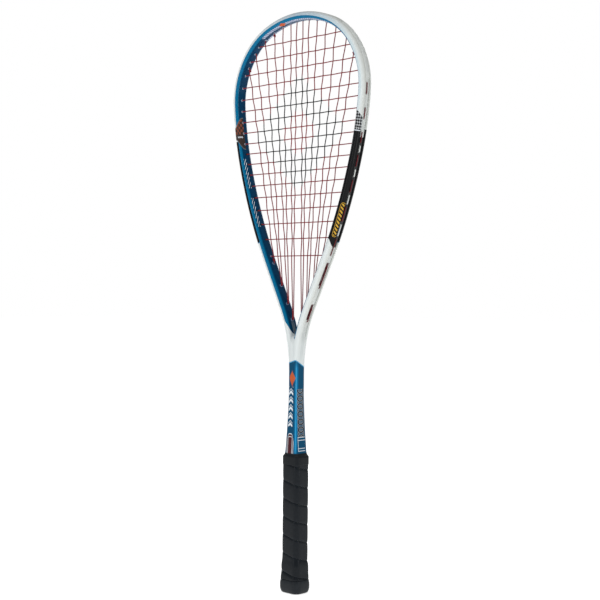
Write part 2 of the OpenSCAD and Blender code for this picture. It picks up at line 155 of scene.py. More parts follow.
def advance(start, stretch, distance):
    """The place that lies a distance along a stretch: an arc, or a straight if its radius is 0."""
    x, z, heading = start
    radius = stretch[0]
    if radius == 0:
        return (x + distance * math.cos(heading), z - distance * math.sin(heading), heading)
    turned = heading + distance / radius
    along_x = radius * (math.sin(turned) - math.sin(heading))
    along_z = radius * (math.cos(turned) - math.cos(heading))
    return (x + along_x, z + along_z, turned)


def edge_of(half, power, across):
    """How far a boxy oval stands out at a distance across from its middle."""
    return half[0] * (1 - (abs(across) / half[1]) ** power) ** (1 / power)


def lay_out_stretches():
    """Every stretch as (radius, length), and the place where each starts, the last one's end too."""
    start = (0, TOTAL_LENGTH - edge_of(HOOP_HALF, HOOP_POWER, GROOVE_WIDTH / 2), 0)
    stretches = []
    places = [start]
    for radius, turn in HEAD_ARCS:
        stretches.append((radius, radius * math.radians(turn)))
        places.append(advance(places[-1], stretches[-1], stretches[-1][1]))
    x, _, heading = places[-1]
    turn = heading - math.pi / 2
    straight = (x - LEG_OFFSET - THROAT_RADIUS * (1 - math.cos(turn))) / math.sin(turn)
    for stretch in ((0, straight), (-THROAT_RADIUS, THROAT_RADIUS * turn)):
        stretches.append(stretch)
        places.append(advance(places[-1], stretch, stretch[1]))
    return stretches, places


STRETCHES, PLACES = lay_out_stretches()
THROAT_BEGINS = sum(length for _, length in STRETCHES[:-1])
THROAT_ENDS = THROAT_BEGINS + STRETCHES[-1][1]
SHAFT_TOP = PLACES[-1][1]


def place(station):
    """The place at a distance from the crown, down the right side, or the left if it is negative."""
    left = station < 0
    rest = abs(station)
    for start, stretch in zip(PLACES, STRETCHES):
        if rest <= stretch[1]:
            x, z, heading = advance(start, stretch, rest)
            break
        rest -= stretch[1]
    else:
        x, z, heading = advance(PLACES[-1], (0, rest), rest)
    return (-x, z, -heading) if left else (x, z, heading)


def at(station, out, back):
    """A point by its station, how far out of the centreline it lies, and how far back."""
    x, z, heading = place(station)
    return Vector((x + math.sin(heading) * out, back, z + math.cos(heading) * out))


def station_where(test, low, high):
    """The station between low and high where a test stops being true."""
    for _ in range(HALVINGS):
        middle = (low + high) / 2
        low, high = (middle, high) if test(middle) else (low, middle)
    return (low + high) / 2


def station_at_height(z):
    if z < SHAFT_TOP:
        return THROAT_ENDS + SHAFT_TOP - z
    return station_where(lambda s: place(s)[1] > z, 20, THROAT_ENDS)


# ---- The tube's section ----
FLARE_TOP = 238
GRIP_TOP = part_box("finishing_tape")[1].z / MM - 0.4
FLARE_POWER = 1.5
FLARE_GROWTH = (4.2, 2.6)
SHAFT_HALF = (6.2, 8.3)
CORE_HALF = (8, 8.8)
CORE_STEP = 3
GROOVE_FADE = 14
GROOVE_ENDS = THROAT_BEGINS + 44
BOXY_FROM = 24
BOXY_OVER = 30
LIP_ROUND = 0.45
OVAL_STEPS = 60


def shaft_half(z):
    if z < GRIP_TOP - CORE_STEP:
        return CORE_HALF
    flare = clamp((FLARE_TOP - z) / (FLARE_TOP - GRIP_TOP)) ** FLARE_POWER
    return (SHAFT_HALF[0] + FLARE_GROWTH[0] * flare, SHAFT_HALF[1] + FLARE_GROWTH[1] * flare)


def tube_half(station):
    """Half thickness, half depth and boxiness of the tube at a station."""
    share = ease((abs(station) - THROAT_BEGINS - BOXY_FROM) / BOXY_OVER)
    half = shaft_half(place(station)[1])
    thick = mix(HOOP_HALF[0], half[0] - LEG_OFFSET, share)
    return (thick, mix(HOOP_HALF[1], half[1], share)), mix(HOOP_POWER, SHAFT_POWER, share)


def groove_at(station):
    return GROOVE_DEPTH * ease((GROOVE_ENDS - abs(station)) / GROOVE_FADE)


LIP_OUT = edge_of(HOOP_HALF, HOOP_POWER, GROOVE_WIDTH / 2)
FLOOR_OUT = LIP_OUT - GROOVE_DEPTH


def tube_section(station):
    """The tube's outline as (out, back) points, from the middle of the groove's floor round."""
    half, power = tube_half(station)
    wall = GROOVE_WIDTH / 2
    lip = edge_of(half, power, wall)
    deep = groove_at(station)
    soft = min(LIP_ROUND, deep * 0.45)
    side = [
        (lip - deep, wall * 0.5), (lip - deep, wall - soft * 0.6), (lip - deep + soft * 0.6, wall),
        (lip - soft, wall), (lip - soft * 0.3, wall + soft * 0.3)
    ]
    reach = wall + soft + 0.1
    start_out = edge_of(half, power, reach)
    start = math.atan2((reach / half[1]) ** (power / 2), (start_out / half[0]) ** (power / 2))
    oval = []
    for i in range(OVAL_STEPS + 1):
        angle = mix(start, 2 * math.pi - start, i / OVAL_STEPS)
        out = half[0] * signed_power(math.cos(angle), 2 / power)
        oval.append((out, half[1] * signed_power(math.sin(angle), 2 / power)))
    return [(lip - deep, 0)] + side + oval + mirrored(side)


# ---- Mesh helpers ----
SHARP_ANGLE = math.radians(40)


def finish_piece(mesh, node, material):
    """Makes a mesh in millimetres an object on the racket's body that stands for its CAD node."""
    for vertex in mesh.vertices:
        vertex.co *= MM
    mesh.shade_smooth()
    mesh.set_sharp_from_angle(angle=SHARP_ANGLE)
    mesh.materials.append(material)
    piece = add_object(mesh.name, mesh)
    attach(piece, "root")
    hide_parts(node)


class Shape:
    """Gathers points and faces, with the numbers that each point carries for its material."""

    def __init__(self, *notes):
        self.points = []
        self.faces = []
        self.notes = {name: [] for name in notes}

    def add_rings(self, rings, closed=False, **notes):
        """A skin through rings of equal size. A note is one number, or one for each ring or point."""
        base = len(self.points)
        size = len(rings[0])
        for name, value in notes.items():
            for part in value if isinstance(value, list) else [value] * len(rings):
                self.notes[name].extend(part if isinstance(part, list) else [part] * size)
        for ring in rings:
            self.points.extend(ring)
        for i in range(len(rings) if closed else len(rings) - 1):
            here = base + i * size
            there = base + (i + 1) % len(rings) * size
            for j in range(size):
                k = (j + 1) % size
                self.faces.append((here + j, here + k, there + k, there + j))
        if not closed:
            end = len(self.points)
            self.faces.append(tuple(range(base + size - 1, base - 1, -1)))
            self.faces.append(tuple(range(end - size, end)))

    def mesh(self, name):
        made = bpy.data.meshes.new(name)
        made.from_pydata([tuple(p) for p in self.points], [], self.faces)
        for note, values in self.notes.items():
            made.attributes.new(note, "FLOAT", "POINT").data.foreach_set("value", values)
        rework(made)
        return made


def rework(mesh, *steps):
    """Runs steps on a mesh's points and faces, then turns its faces outwards."""
    work = bmesh.new()
    work.from_mesh(mesh)
    for step in steps:
        step(work)
    bmesh.ops.recalc_face_normals(work, faces=work.faces)
    work.to_mesh(mesh)
    work.free()


# ---- Materials ----
def rgb(red, green, blue):
    """A colour given as it is seen, 0 to 255, for a socket that takes linear light."""
    return tuple(
        (c / 255 / 12.92 if c <= 10 else ((c / 255 + 0.055) / 1.055) ** 2.4) for c in (red, green, blue)
    ) + (1,)


def scaled(colour, factor):
    return tuple(c * factor for c in colour[:3]) + (1,)


class Field:
    """A number that a material works out at every point."""

    def __init__(self, tree, socket):
        self.tree = tree
        self.socket = socket

    def math(self, operation, *others, clamped=False):
        node = self.tree.nodes.new("ShaderNodeMath")
        node.operation = operation
        node.use_clamp = clamped
        for slot, value in enumerate((self,) + others):
            if isinstance(value, Field):
                self.tree.links.new(value.socket, node.inputs[slot])
            else:
                node.inputs[slot].default_value = value
        return Field(self.tree, node.outputs[0])

    __add__ = partialmethod(math, "ADD")
    __sub__ = partialmethod(math, "SUBTRACT")
    __mul__ = partialmethod(math, "MULTIPLY")
    __truediv__ = partialmethod(math, "DIVIDE")
    __and__ = partialmethod(math, "MULTIPLY")
    __or__ = partialmethod(math, "MAXIMUM")
    __abs__ = partialmethod(math, "ABSOLUTE")
    sign = partialmethod(math, "SIGN")
    sine = partialmethod(math, "SINE")

    def __invert__(self):
        return self * -1 + 1

    def above(self, level, soft=0.12):
        """1 where this is more than a level and 0 where it is less, with a soft edge."""
        return ((self - level) * (0.5 / soft)).math("ADD", 0.5, clamped=True)

    def below(self, level, soft=0.12):
        return ~self.above(level, soft)

    def within(self, low, high, soft=0.12):
        return self.above(low, soft) & self.below(high, soft)

    def smooth(self, low, high):
        """Eases from 0 to 1 between two levels."""
        share = ((self - low) / (high - low)).math("ADD", 0, clamped=True)
        return share * share * (share * -2 + 3)

    def wave(self, pitch):
        """A sawtooth from 0 to 1."""
        return (self / pitch).math("FRACT")


COLOUR_BELOW, COLOUR_ABOVE, MIXED_COLOUR = 6, 7, 2    # sockets of a Mix node that mixes colours


class Surface:
    """A material under construction: a Principled shader, and the numbers to pattern it with."""

    def __init__(self, name, colour, **values):
        self.material = bpy.data.materials.new(name)
        self.material.use_nodes = True
        self.tree = self.material.node_tree
        self.sockets = self.tree.nodes["Principled BSDF"].inputs
        self.sockets["Base Color"].default_value = colour
        for socket, value in values.items():
            self.sockets[socket.replace("_", " ")].default_value = value
        self.base = colour
        self.colour = None
        self.bumps = None

    def node(self, kind):
        return self.tree.nodes.new("ShaderNode" + kind)

    def join(self, start, end):
        self.tree.links.new(start, end)

    def axes(self):
        """Object coordinates in millimetres."""
        split = self.node("SeparateXYZ")
        self.join(self.node("TexCoord").outputs["Object"], split.inputs[0])
        return [Field(self.tree, split.outputs[i]) / MM for i in range(3)]

    def note(self, name):
        node = self.node("Attribute")
        node.attribute_name = name
        return Field(self.tree, node.outputs["Fac"])

    def noise(self, size, detail=2, stretch=(1, 1, 1)):
        """Noise about 0.5, whose lumps are about this many millimetres across."""
        mapping = self.node("Mapping")
        mapping.inputs["Scale"].default_value = [1 / (MM * size * s) for s in stretch]
        node = self.node("TexNoise")
        node.inputs["Scale"].default_value = 1
        node.inputs["Detail"].default_value = detail
        self.join(self.node("TexCoord").outputs["Object"], mapping.inputs["Vector"])
        self.join(mapping.outputs[0], node.inputs["Vector"])
        return Field(self.tree, node.outputs[0])

    def over(self, colour, mask):
        """Lays a colour over what is there, where the mask is 1."""
        node = self.node("Mix")
        node.data_type = "RGBA"
        self.join(mask.socket, node.inputs["Factor"])
        if self.colour is None:
            node.inputs[COLOUR_BELOW].default_value = self.base
        else:
            self.join(self.colour, node.inputs[COLOUR_BELOW])
        node.inputs[COLOUR_ABOVE].default_value = colour
        self.colour = node.outputs[MIXED_COLOUR]

    def shade(self, field, amount):
        """Darkens where a field about 0.5 is low, by up to the amount."""
        self.over(scaled(self.base, 0.55), (~field).above(0.5, 0.5) * amount)

    def rough(self, field):
        self.join(field.socket, self.sockets["Roughness"])

    def bump(self, height, depth):
        """Raises the surface by up to a depth in millimetres."""
        node = self.node("Bump")
        node.inputs["Distance"].default_value = depth * MM
        self.join(height.socket, node.inputs["Height"])
        if self.bumps is not None:
            self.join(self.bumps, node.inputs["Normal"])
        self.bumps = node.outputs[0]

    def done(self):
        for output, name in ((self.colour, "Base Color"), (self.bumps, "Normal")):
            if output is not None:
                self.join(output, self.sockets[name])
        return self.material


BLUE = rgb(0, 102, 142)
NAVY = rgb(0, 52, 84)
WHITE_PAINT = rgb(212, 218, 218)
BLACK_PAINT = rgb(16, 17, 19)
CARBON = rgb(70, 75, 78)
ORANGE = rgb(186, 88, 50)
GOLD = rgb(200, 158, 52)
PALE = rgb(214, 222, 228)
LAVENDER = rgb(176, 184, 206)
MAROON = rgb(72, 30, 36)
SKY = rgb(70, 160, 205)
SHAFT_BLUE = rgb(0, 68, 100)
THROAT_WHITE = 462            # stations from here on are white all round, down to the shaft's blue
BLACK_BEGINS = 204            # the black section of the arms, as stations
BLACK_ENDS = 335
WEAVE_ENDS = 206
PATCH_MIDDLE = 194            # the lozenge patch inside the blue arm
PATCH_HALF = 6.5
CAPSULE_MIDDLE = 309          # the outlined capsule on the black section
CAPSULE_HALF = 17.5
CAPSULE_ROUND = 2.6
DIAMOND_LOW = 243             # the orange diamond on the shaft's front, as heights
DIAMOND_HIGH = 264
CHAIN_LOW = 184               # the chain of ovals on the shaft's sides, as heights
CHAIN_HIGH = 241
LINK_PITCH = 9.2
THIN_LINES = (184, 180.6, 171, 168)


def paint_material():
    """The frame's paint, which looks the same when the racket is turned half way round its axis."""
    paint = Surface(
        "frame_paint", BLUE, Roughness=0.3, Specular_IOR_Level=0.02, Coat_Weight=0.16, Coat_Roughness=0.06
    )
    x, y, z = paint.axes()
    station = paint.note("station")
    around = paint.note("around")          # 0 at the outside of the hoop and 180 at the inside
    facing = y.sign() * -1                 # 1 on the front and -1 on the back
    arm = station * x.sign() * facing      # over 0 on the pale arm of each face, under 0 on the blue
    pale_arm = arm.above(0, 0.5)
    blue_arm = ~pale_arm
    hoop = z.smooth(262, 345)
    inner = around.smooth(128, 150)
    # Navy on the hoop's inner face: partly the paint's own darker blue, partly painted shade.
    paint.over(NAVY, inner)

    # White round the outside, nearly the whole face of the pale arm
    edge = arm.smooth(0, 110) * 13 + 95 - station.smooth(370, 450) * 8
    end_of_blue = station.below(around.smooth(60, 180) * 21 + 436, 0.2)
    pale_front = around.below(edge, 1)
    off_black = station.below(BLACK_BEGINS, 0.3) | station.above(BLACK_ENDS + 1, 0.3)
    outer_strip = around.below(95, 1) & off_black
    white = (pale_arm & pale_front) | (blue_arm & outer_strip) | ((~end_of_blue) & blue_arm)
    white = white | station.above(THROAT_WHITE, 1)
    paint.over(WHITE_PAINT, white)
    cool = pale_arm & around.within(78, 104, 12) & white & station.below(180, 20)
    paint.over(rgb(188, 210, 218), cool * 0.7)
    # Painted shade: the white turns darker blue-grey towards the crown.
    paint.over(rgb(150, 166, 180), (white & station.below(50, 45)) * 0.7)
    # Painted shade: the white is a little darker and warmer on the outer face round the hoop.
    paint.over(rgb(188, 190, 184), (white & around.below(46, 22) & hoop) * 0.8)

    draw_black_section(paint, around, station, pale_arm, blue_arm)
    draw_hoop_marks(paint, around, station, arm, blue_arm)
    draw_shaft(paint, x, y, z, facing)

    paint.bump(paint.noise(0.9, 3), 0.012)
    paint.rough(paint.noise(14, 3) * 0.12 + 0.22)
    return paint.done()


def draw_black_section(paint, around, station, pale_arm, blue_arm):
    """The black part of each arm, and what is drawn on it."""
    top = station.above(around.smooth(110, 0) * 8 + 183.5, 0.3)
    bottom = station.below(around.smooth(110, 0) * 9 + 333, 0.3)
    pale_black = pale_arm & top & bottom & around.below(122, 1)
    blue_black = blue_arm & station.within(BLACK_BEGINS, BLACK_ENDS, 0.3) & around.below(103, 1)
    paint.over(BLACK_PAINT, pale_black | blue_black)

    # A woven patch, and below it a strip of slanted hatching by the inner edge
    across = around * 0.13
    weave = ((station + across) * 0.95).sine() * ((station - across) * 0.95).sine()
    patch = station.below(WEAVE_ENDS, 0.4) & around.above(12, 2)
    paint.over(rgb(168, 172, 174), pale_black & patch & weave.above(0.1, 0.16))
    border = station.within(WEAVE_ENDS - 0.6, WEAVE_ENDS + 0.4, 0.2)
    paint.over(PALE, pale_black & border & around.within(30, 112, 4))
    hatch = (station * 0.6 + across * 1.6).wave(2.4)
    strip = (around - station.smooth(WEAVE_ENDS, 280) * 18).within(90, 114, 2)
    strip = strip & station.within(209, 278, 2)
    paint.over(CARBON, pale_black & strip & hatch.below(0.36, 0.07))

    # A capsule outlined in yellow, with a plain row of bars
    along = abs(station - CAPSULE_MIDDLE)
    wide = (around - 42) * 0.105
    straight = (along - CAPSULE_HALF).math("MAXIMUM", 0)
    reach = (straight * straight + wide * wide).math("SQRT")
    paint.over(GOLD, pale_arm & reach.within(CAPSULE_ROUND, CAPSULE_ROUND + 0.55, 0.1))
    bars = (station + wide * 0.8).wave(4.2).below(0.5, 0.05) & reach.below(1.75, 0.1)
    paint.over(GOLD, pale_arm & bars)


def draw_hoop_marks(paint, around, station, arm, blue_arm):
    """The marks inside the hoop: on the blue arm, and in the crown."""
    # A patch like a long lozenge round the inside of the blue arm
    from_middle = abs(station - PATCH_MIDDLE)
    half = around.smooth(60, 180) * 14 + PATCH_HALF
    lozenge = blue_arm & from_middle.below(half, 0.25) & around.above(70, 1)
    paint.over(rgb(104, 108, 110), lozenge)
    inside = blue_arm & from_middle.below(half - 1.1, 0.25) & around.above(74, 1)
    paint.over(rgb(58, 48, 46), inside)
    mesh = (station * 0.95).sine() * (around * 0.15).sine()
    upper = station.within(176, 195, 0.3)
    paint.over(rgb(126, 72, 54), inside & upper & mesh.above(0.05, 0.2))
    ticks = (around * 0.1).wave(1.1).above(0.35, 0.06)
    paint.over(PALE, inside & station.within(197.6, 199.6, 0.2) & around.within(106, 168, 1) & ticks)

    # Two groups of slanted dashes by the inner edge of the blue arm
    slant = (station + around * 0.3).wave(6.4)
    rows = station.within(227, 265, 0.3) | station.within(278, 316, 0.3)
    short = slant.below(0.26, 0.04) & around.within(140, 169, 1)
    paint.over(PALE, blue_arm & rows & short)

    # Inside the crown: a pale stripe broken by short marks, which is a painted reflection, and a small orange
    # flash
    dashes = (station + around * 0.05).wave(3.3).above(0.3, 0.08)
    crown_reflection = around.within(138, 167, 2) & station.below(64, 3)
    paint.over(LAVENDER, crown_reflection & dashes & arm.above(-62, 2))
    flash = (abs(station - 25) + abs(around - 150) * 0.22).below(6, 0.4)
    paint.over(ORANGE, blue_arm & flash)


def draw_shaft(paint, x, y, z, facing):
    """The blue shaft with a peaked top edge, the marks on its four sides, a painted highlight down its corner
    and painted shade beside the legs' valley.
    """
    across = x * facing                    # to the right on the front and on the back alike
    deep = y * x.sign()                    # away from the front on the right side
    on_front = (abs(y) * 0.745 - abs(x)).above(0, 0.25)
    on_side = ~on_front
    rise = (on_front & (across * 0.32 + 274)) + (on_side & (deep * -0.57 + 271.3))
    paint.over(SHAFT_BLUE, z.below(rise, 0.2))
    paint.over(SKY, z.within(rise - 1.1, rise - 0.2, 0.2))
    # Painted shade: grey bands down the fused legs beside the valley between them, on the front and the
    # sides.
    valley_shade = abs(x).within(2.6, 3.8, 0.4) & on_front
    valley_shade = valley_shade | (on_side & abs(y).within(0.2, 2.2, 0.6))
    paint.over(rgb(170, 178, 180), (z.within(277, 322, 6) & valley_shade) * 0.35)
    # Painted highlight: a brighter blue band down the shaft's corner, with a sky-blue line in it.
    from_corner = abs(x) * 1.34 - abs(y)
    corner_highlight = across.above(0, 0.3) & z.within(166, 270, 5)
    paint.over(rgb(0, 118, 168), from_corner.within(-0.8, 4.4, 1.4) & corner_highlight)
    paint.over(SKY, (from_corner.within(0.9, 2.1, 0.5) & corner_highlight) * 0.75)

    # Front: an orange diamond, then a column of plain chevrons
    half_width = z.smooth(DIAMOND_LOW, DIAMOND_LOW + 12) * 4.2 * (~z.smooth(DIAMOND_HIGH - 10, DIAMOND_HIGH))
    diamond = abs(across - 1).below(half_width, 0.25) & z.within(DIAMOND_LOW + 0.5, DIAMOND_HIGH, 0.3)
    paint.over(ORANGE, on_front & diamond)
    chevron = (z + abs(across + 0.6) * 0.9).wave(9.4)
    column = abs(across + 0.6).below(3.4, 0.2) & z.within(197, 244, 0.3) & on_front
    paint.over(PALE, column & chevron.within(0.18, 0.5, 0.03))
    paint.over(PALE, column & chevron.within(0.66, 0.76, 0.03))

    # Front, lower down: a dark red panel with a rounded top inside two pale lines
    round_top = (abs(across) - 1.4).math("MAXIMUM", 0)
    panel = z + round_top * round_top * 0.55
    layers = ((189, 5.6, PALE), (188, 5, MAROON), (185.6, 3.7, PALE), (184.8, 3.1, MAROON))
    for top, half_width, tone in layers:
        paint.over(tone, on_front & panel.below(top, 0.2) & abs(across).below(half_width, 0.2))

    # Side: a chain of linked ovals in grey and black, then paired thin pale lines
    chain = on_side & z.within(CHAIN_LOW, CHAIN_HIGH, 0.3)
    for shift, tone in ((0, rgb(70, 76, 82)), (LINK_PITCH / 2, rgb(12, 14, 18))):
        link = (z + shift).wave(LINK_PITCH) * LINK_PITCH - LINK_PITCH / 2
        size = (link * link * 0.16 + deep * deep * 0.085).math("SQRT")
        paint.over(PALE, (chain & size.within(0.88, 1.64, 0.08)) * 0.5)
        paint.over(tone, chain & size.within(0.98, 1.54, 0.08))
    for height in THIN_LINES:
        line = z.within(height, height + 0.7, 0.12)
        paint.over(PALE, on_side & line & abs(deep).below(6, 0.3))
    paint.over(PALE, on_side & z.within(168, 184, 0.2) & deep.within(-5.9, -5.4, 0.12))


RING_MIDDLE = 545             # the dark lozenge ring across the strings, as a height
RING_HALF = (72, 66)          # across and up
RING = (0.45, 1.06)           # from its inner edge to its outer, as shares of the half


def string_material(name, colour):
    string = Surface(name, colour, Roughness=0.45, Specular_IOR_Level=0.12)
    x, _, z = string.axes()
    along = string.note("along")
    away = abs(x) / RING_HALF[0] + abs(z - RING_MIDDLE) / RING_HALF[1]
    string.over(rgb(3, 5, 8), away.within(*RING, 0.02))
    faded = string.noise(5, 2).above(0.56, 0.08) & away.above(1.05, 0.02)
    string.over(rgb(138, 56, 62), faded * 0.3)
    twist = (along * 5.2).sine()
    string.bump(twist, 0.03)
    # Painted shade: the string is darker in the grooves of its twist, where the bump sinks.
    string.over(rgb(80, 26, 32), twist.below(-0.3, 0.3) & away.above(1.02, 0.02) * 0.35)
    return string.done()


# A strip's tone is 0 where it is pale and 0.5 where it is black, its collars' is 0.25 more, and a rib's is 1.
COLLARS = (0.1, 0.4, 0.02)
BLACK_STRIP = (0.4, 0.9, 0.02)
CROWN_COLLARS_ABOVE = 430
THROAT_RUNS = ((323.3, 341.5), (363.5, 390))    # heights of the runs with a painted dark red shadow on the strip under them


def grommet_material():
    plastic = Surface("grommet_nylon", rgb(196, 200, 197), Roughness=0.42, Specular_IOR_Level=0.4)
    tone = plastic.note("tone")
    _, y, z = plastic.axes()
    collar = tone.within(*COLLARS)
    # Painted shade: the collars inside the hoop are darker blue-grey, darkest below the crown.
    plastic.over(rgb(96, 116, 146), collar & z.below(CROWN_COLLARS_ABOVE, 4))
    plastic.over(rgb(132, 146, 162), collar & z.above(CROWN_COLLARS_ABOVE, 4))
    plastic.over(rgb(20, 21, 23), tone.within(*BLACK_STRIP))
    # Painted shadow: the pale strip under the throat's runs is dark red.
    lower, upper = THROAT_RUNS
    shadow = z.within(*upper, 0.4) | z.within(*lower, 0.4)
    plastic.over(rgb(66, 22, 26), shadow & abs(y).below(2.1, 0.3) & tone.below(0.1, 0.02))
    scuffs = plastic.noise(9, 3).above(0.56, 0.1) * 0.25
    plastic.over(rgb(150, 156, 160), scuffs & tone.below(0.25, 0.02))
    plastic.bump(plastic.noise(0.7, 2), 0.02)
    return plastic.done()


def grip_material():
    grip = Surface(
        "grip_wrap", rgb(15, 20, 25), Roughness=0.4, Specular_IOR_Level=0.04,
        Coat_Weight=0.22, Coat_Roughness=0.2
    )
    strip = grip.note("strip")
    x, y, z = grip.axes()
    # Painted light: each turn is lighter along its rolled edges, which softens the shade at the seams.
    grip.over(rgb(30, 35, 40), abs(strip - 0.5).above(0.46, 0.03) * 0.6)
    grip.over(rgb(24, 29, 34), grip.noise(3, 4).above(0.56, 0.1) * 0.5)
    dots = ((x + y) * 2.4).sine() * ((x - y) * 2.4).sine() * (z * 2.4).sine()
    # Painted shade: the sunken dots are darker.
    grip.over(rgb(9, 10, 11), dots.above(0.55, 0.1) * 0.6)
    grip.bump(grip.noise(0.5, 3), 0.08)
    grip.bump(dots.below(0.5, 0.2), 0.06)
    grip.rough(grip.noise(6, 3) * 0.2 + 0.26)
    return grip.done()


def rubber_material(name, colour, roughness):
    rubber = Surface(name, colour, Roughness=roughness, Specular_IOR_Level=0.14)
    rubber.over(scaled(colour, 1.6), rubber.noise(4, 4).above(0.58, 0.1) * 0.4)
    rubber.bump(rubber.noise(0.6, 3), 0.04)
    rubber.rough(rubber.noise(8, 3) * 0.2 + roughness - 0.1)
    return rubber.done()


def tape_material():
    tape = Surface("tape_vinyl", rgb(17, 21, 25), Roughness=0.32, Specular_IOR_Level=0.14)
    _, _, z = tape.axes()
    weft = (z * 5.5).sine()
    tape.over(rgb(34, 37, 40), weft.above(0.4, 0.3) * 0.3)
    tape.bump(weft, 0.03)
    tape.bump(tape.noise(2.5, 2), 0.06)
    return tape.done()


def badge_material():
    badge = Surface("badge_plastic", rgb(176, 180, 184), Roughness=0.35, Metallic=0.3)
    lift = badge.note("lift")
    badge.over(rgb(48, 52, 58), lift.within(0.415, 0.445, 0.004))
    badge.bump(badge.noise(0.5, 2), 0.02)
    return badge.done()


def foam_material(name, colour):
    foam = Surface(name, colour, Roughness=0.9)
    foam.shade(foam.noise(1.6, 4), 0.5)
    foam.bump(foam.noise(0.8, 3), 0.2)
    return foam.done()


def steel_material():
    steel = Surface("staple_wire", rgb(186, 188, 192), Roughness=0.3, Metallic=1)
    steel.shade(steel.noise(1.2, 3, (6, 1, 1)), 0.3)
    steel.bump(steel.noise(0.4, 2), 0.02)
    return steel.done()


def dress(node, material):
    """Gives a CAD node that stays in sight its finished material."""
    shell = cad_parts[node]
    shell.data.materials.clear()
    shell.data.materials.append(material)


# ---- Frame skin ----
CROTCH_HEIGHT = 304
CROTCH_RADIUS = 3.2
WEB_HALF_DEPTH = 7.4
WEB_DROP = 9
JOIN_HALF = 9                 # the part round the crotch that is smoothed
JOIN_BELOW = 22
JOIN_ABOVE = 10
SMOOTHINGS = 6
CROWN_CAP_ABOVE = 600         # of the half's two end caps, the one at the crown lies above this
CORE_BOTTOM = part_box("frame")[0].z / MM


def in_web(point):
    """Whether a point is inside the web that closes the crotch, whose top is a round saddle."""
    across = abs(point.y) / WEB_HALF_DEPTH
    if across >= 1:
        return False
    middle = CROTCH_HEIGHT + CROTCH_RADIUS - WEB_DROP * across ** 3
    inside = abs(point.x) < CROTCH_RADIUS
    saddle = math.sqrt(CROTCH_RADIUS ** 2 - point.x ** 2) if inside else 0
    return point.z < middle - saddle


def frame_ring(station):
    """The tube's outline, its inner side drawn across to the middle plane where the web is."""
    ring = []
    heading = place(station)[2]
    inward = Vector((-math.sin(heading), 0, -math.cos(heading)))
    for out, back in tube_section(station):
        point = at(station, out, back)
        if out < 0 and point.x < 8:
            while in_web(point) and point.x > -1:
                point = point + inward * 0.05
        ring.append(point)
    return ring


def frame_stations():
    crotch_top = station_at_height(322)
    crotch_end = station_at_height(288)
    heights = spread(SHAFT_TOP, GRIP_TOP - CORE_STEP + 0.02, 3) + [GRIP_TOP - CORE_STEP + 0.01]
    heights += [GRIP_TOP - CORE_STEP - 0.01, 120, 60, CORE_BOTTOM]
    return (
        spread(0, THROAT_BEGINS, 2.4) + spread(THROAT_BEGINS, crotch_top, 2)
        + spread(crotch_top, crotch_end, 0.5) + spread(crotch_end, THROAT_ENDS, 2.5)
        + [station_at_height(z) for z in heights]
    )


def bearing(station, out, back):
    """Degrees round the tube's outline from its outside, the same on the front and the back."""
    half, power = tube_half(station)
    up = (abs(back) / half[1]) ** (power / 2)
    return math.degrees(math.atan2(up, signed_power(out / half[0], power / 2)))


def frame_mesh():
    stations = frame_stations()
    bearings = [[bearing(s, out, back) for out, back in tube_section(s)] for s in stations]
    half = Shape("station", "around")
    half.add_rings([frame_ring(s) for s in stations], station=stations, around=bearings)
    mesh = half.mesh("frame_skin")
    rework(mesh, mirror_half, round_crotch)
    return mesh


def mirror_half(work):
    """Cuts the right half at the middle plane and joins it to its mirror image."""
    start_cap = [f for f in work.faces if len(f.verts) > 4 and f.calc_center_median().z > CROWN_CAP_ABOVE]
    bmesh.ops.delete(work, geom=start_cap, context="FACES_ONLY")
    everything = work.verts[:] + work.edges[:] + work.faces[:]
    bmesh.ops.bisect_plane(
        work, geom=everything, dist=1e-4, plane_co=(0, 0, 0), plane_no=(-1, 0, 0), clear_outer=True
    )
    everything = work.verts[:] + work.edges[:] + work.faces[:]
    copied = bmesh.ops.duplicate(work, geom=everything)["geom"]
    for vertex in (g for g in copied if isinstance(g, bmesh.types.BMVert)):
        vertex.co.x = -vertex.co.x
    bmesh.ops.reverse_faces(work, faces=[g for g in copied if isinstance(g, bmesh.types.BMFace)])
    seam = [v for v in work.verts if abs(v.co.x) < 1e-3]
    bmesh.ops.remove_doubles(work, verts=seam, dist=2e-3)


def round_crotch(work):
    """Smooths the join between the web and the arms."""
    near = [
        v for v in work.verts
        if abs(v.co.x) < JOIN_HALF and CROTCH_HEIGHT - JOIN_BELOW < v.co.z < CROTCH_HEIGHT + JOIN_ABOVE
    ]
    for _ in range(SMOOTHINGS):
        bmesh.ops.smooth_vert(
            work, verts=near, factor=0.5, use_axis_x=True, use_axis_y=True, use_axis_z=True
        )


finish_piece(frame_mesh(), "frame", paint_material())

# ---- Where the strings go ----
STRING_RADIUS = 0.6
LAYER = STRING_RADIUS + 0.02       # holes of the mains lie this far back, and of the crosses forward
CROSS_COUNT = 18
FIRST_CROSS_DROP = 31.4
MIDDLE_GAP = 9
THROAT_DROPS = [295.6, 322.7, 344.3, 363]
SHOULDER_DROPS = [54.8, 38.7]
CROWN_X = [57.7, 43, 27.9, 15.1, 4.7]
MAIN_THROAT = [0, 1, 1, 2, 2, 3, 3]
PAIR_SPLIT = 0.7
BARREL_SHOW = 0.9
TUBE_MOUTH = HOOP_HALF[0] + BARREL_SHOW + 0.2
STRIP_BASE = FLOOR_OUT + 0.02
STRIP_TOP = STRIP_BASE + 0.9
RUN_OUT = STRIP_TOP + STRING_RADIUS + 0.03
RUN_LANE = 0.75


def gap_below(number):
    away = (number - MIDDLE_GAP) ** 2
    return 13.25 + 0.052 * away if number < MIDDLE_GAP else 12.75 + 0.12 * away


def cross_heights():
    heights = [TOTAL_LENGTH - FIRST_CROSS_DROP]
    for number in range(1, CROSS_COUNT):
        heights.append(heights[-1] - gap_below(number))
    return heights


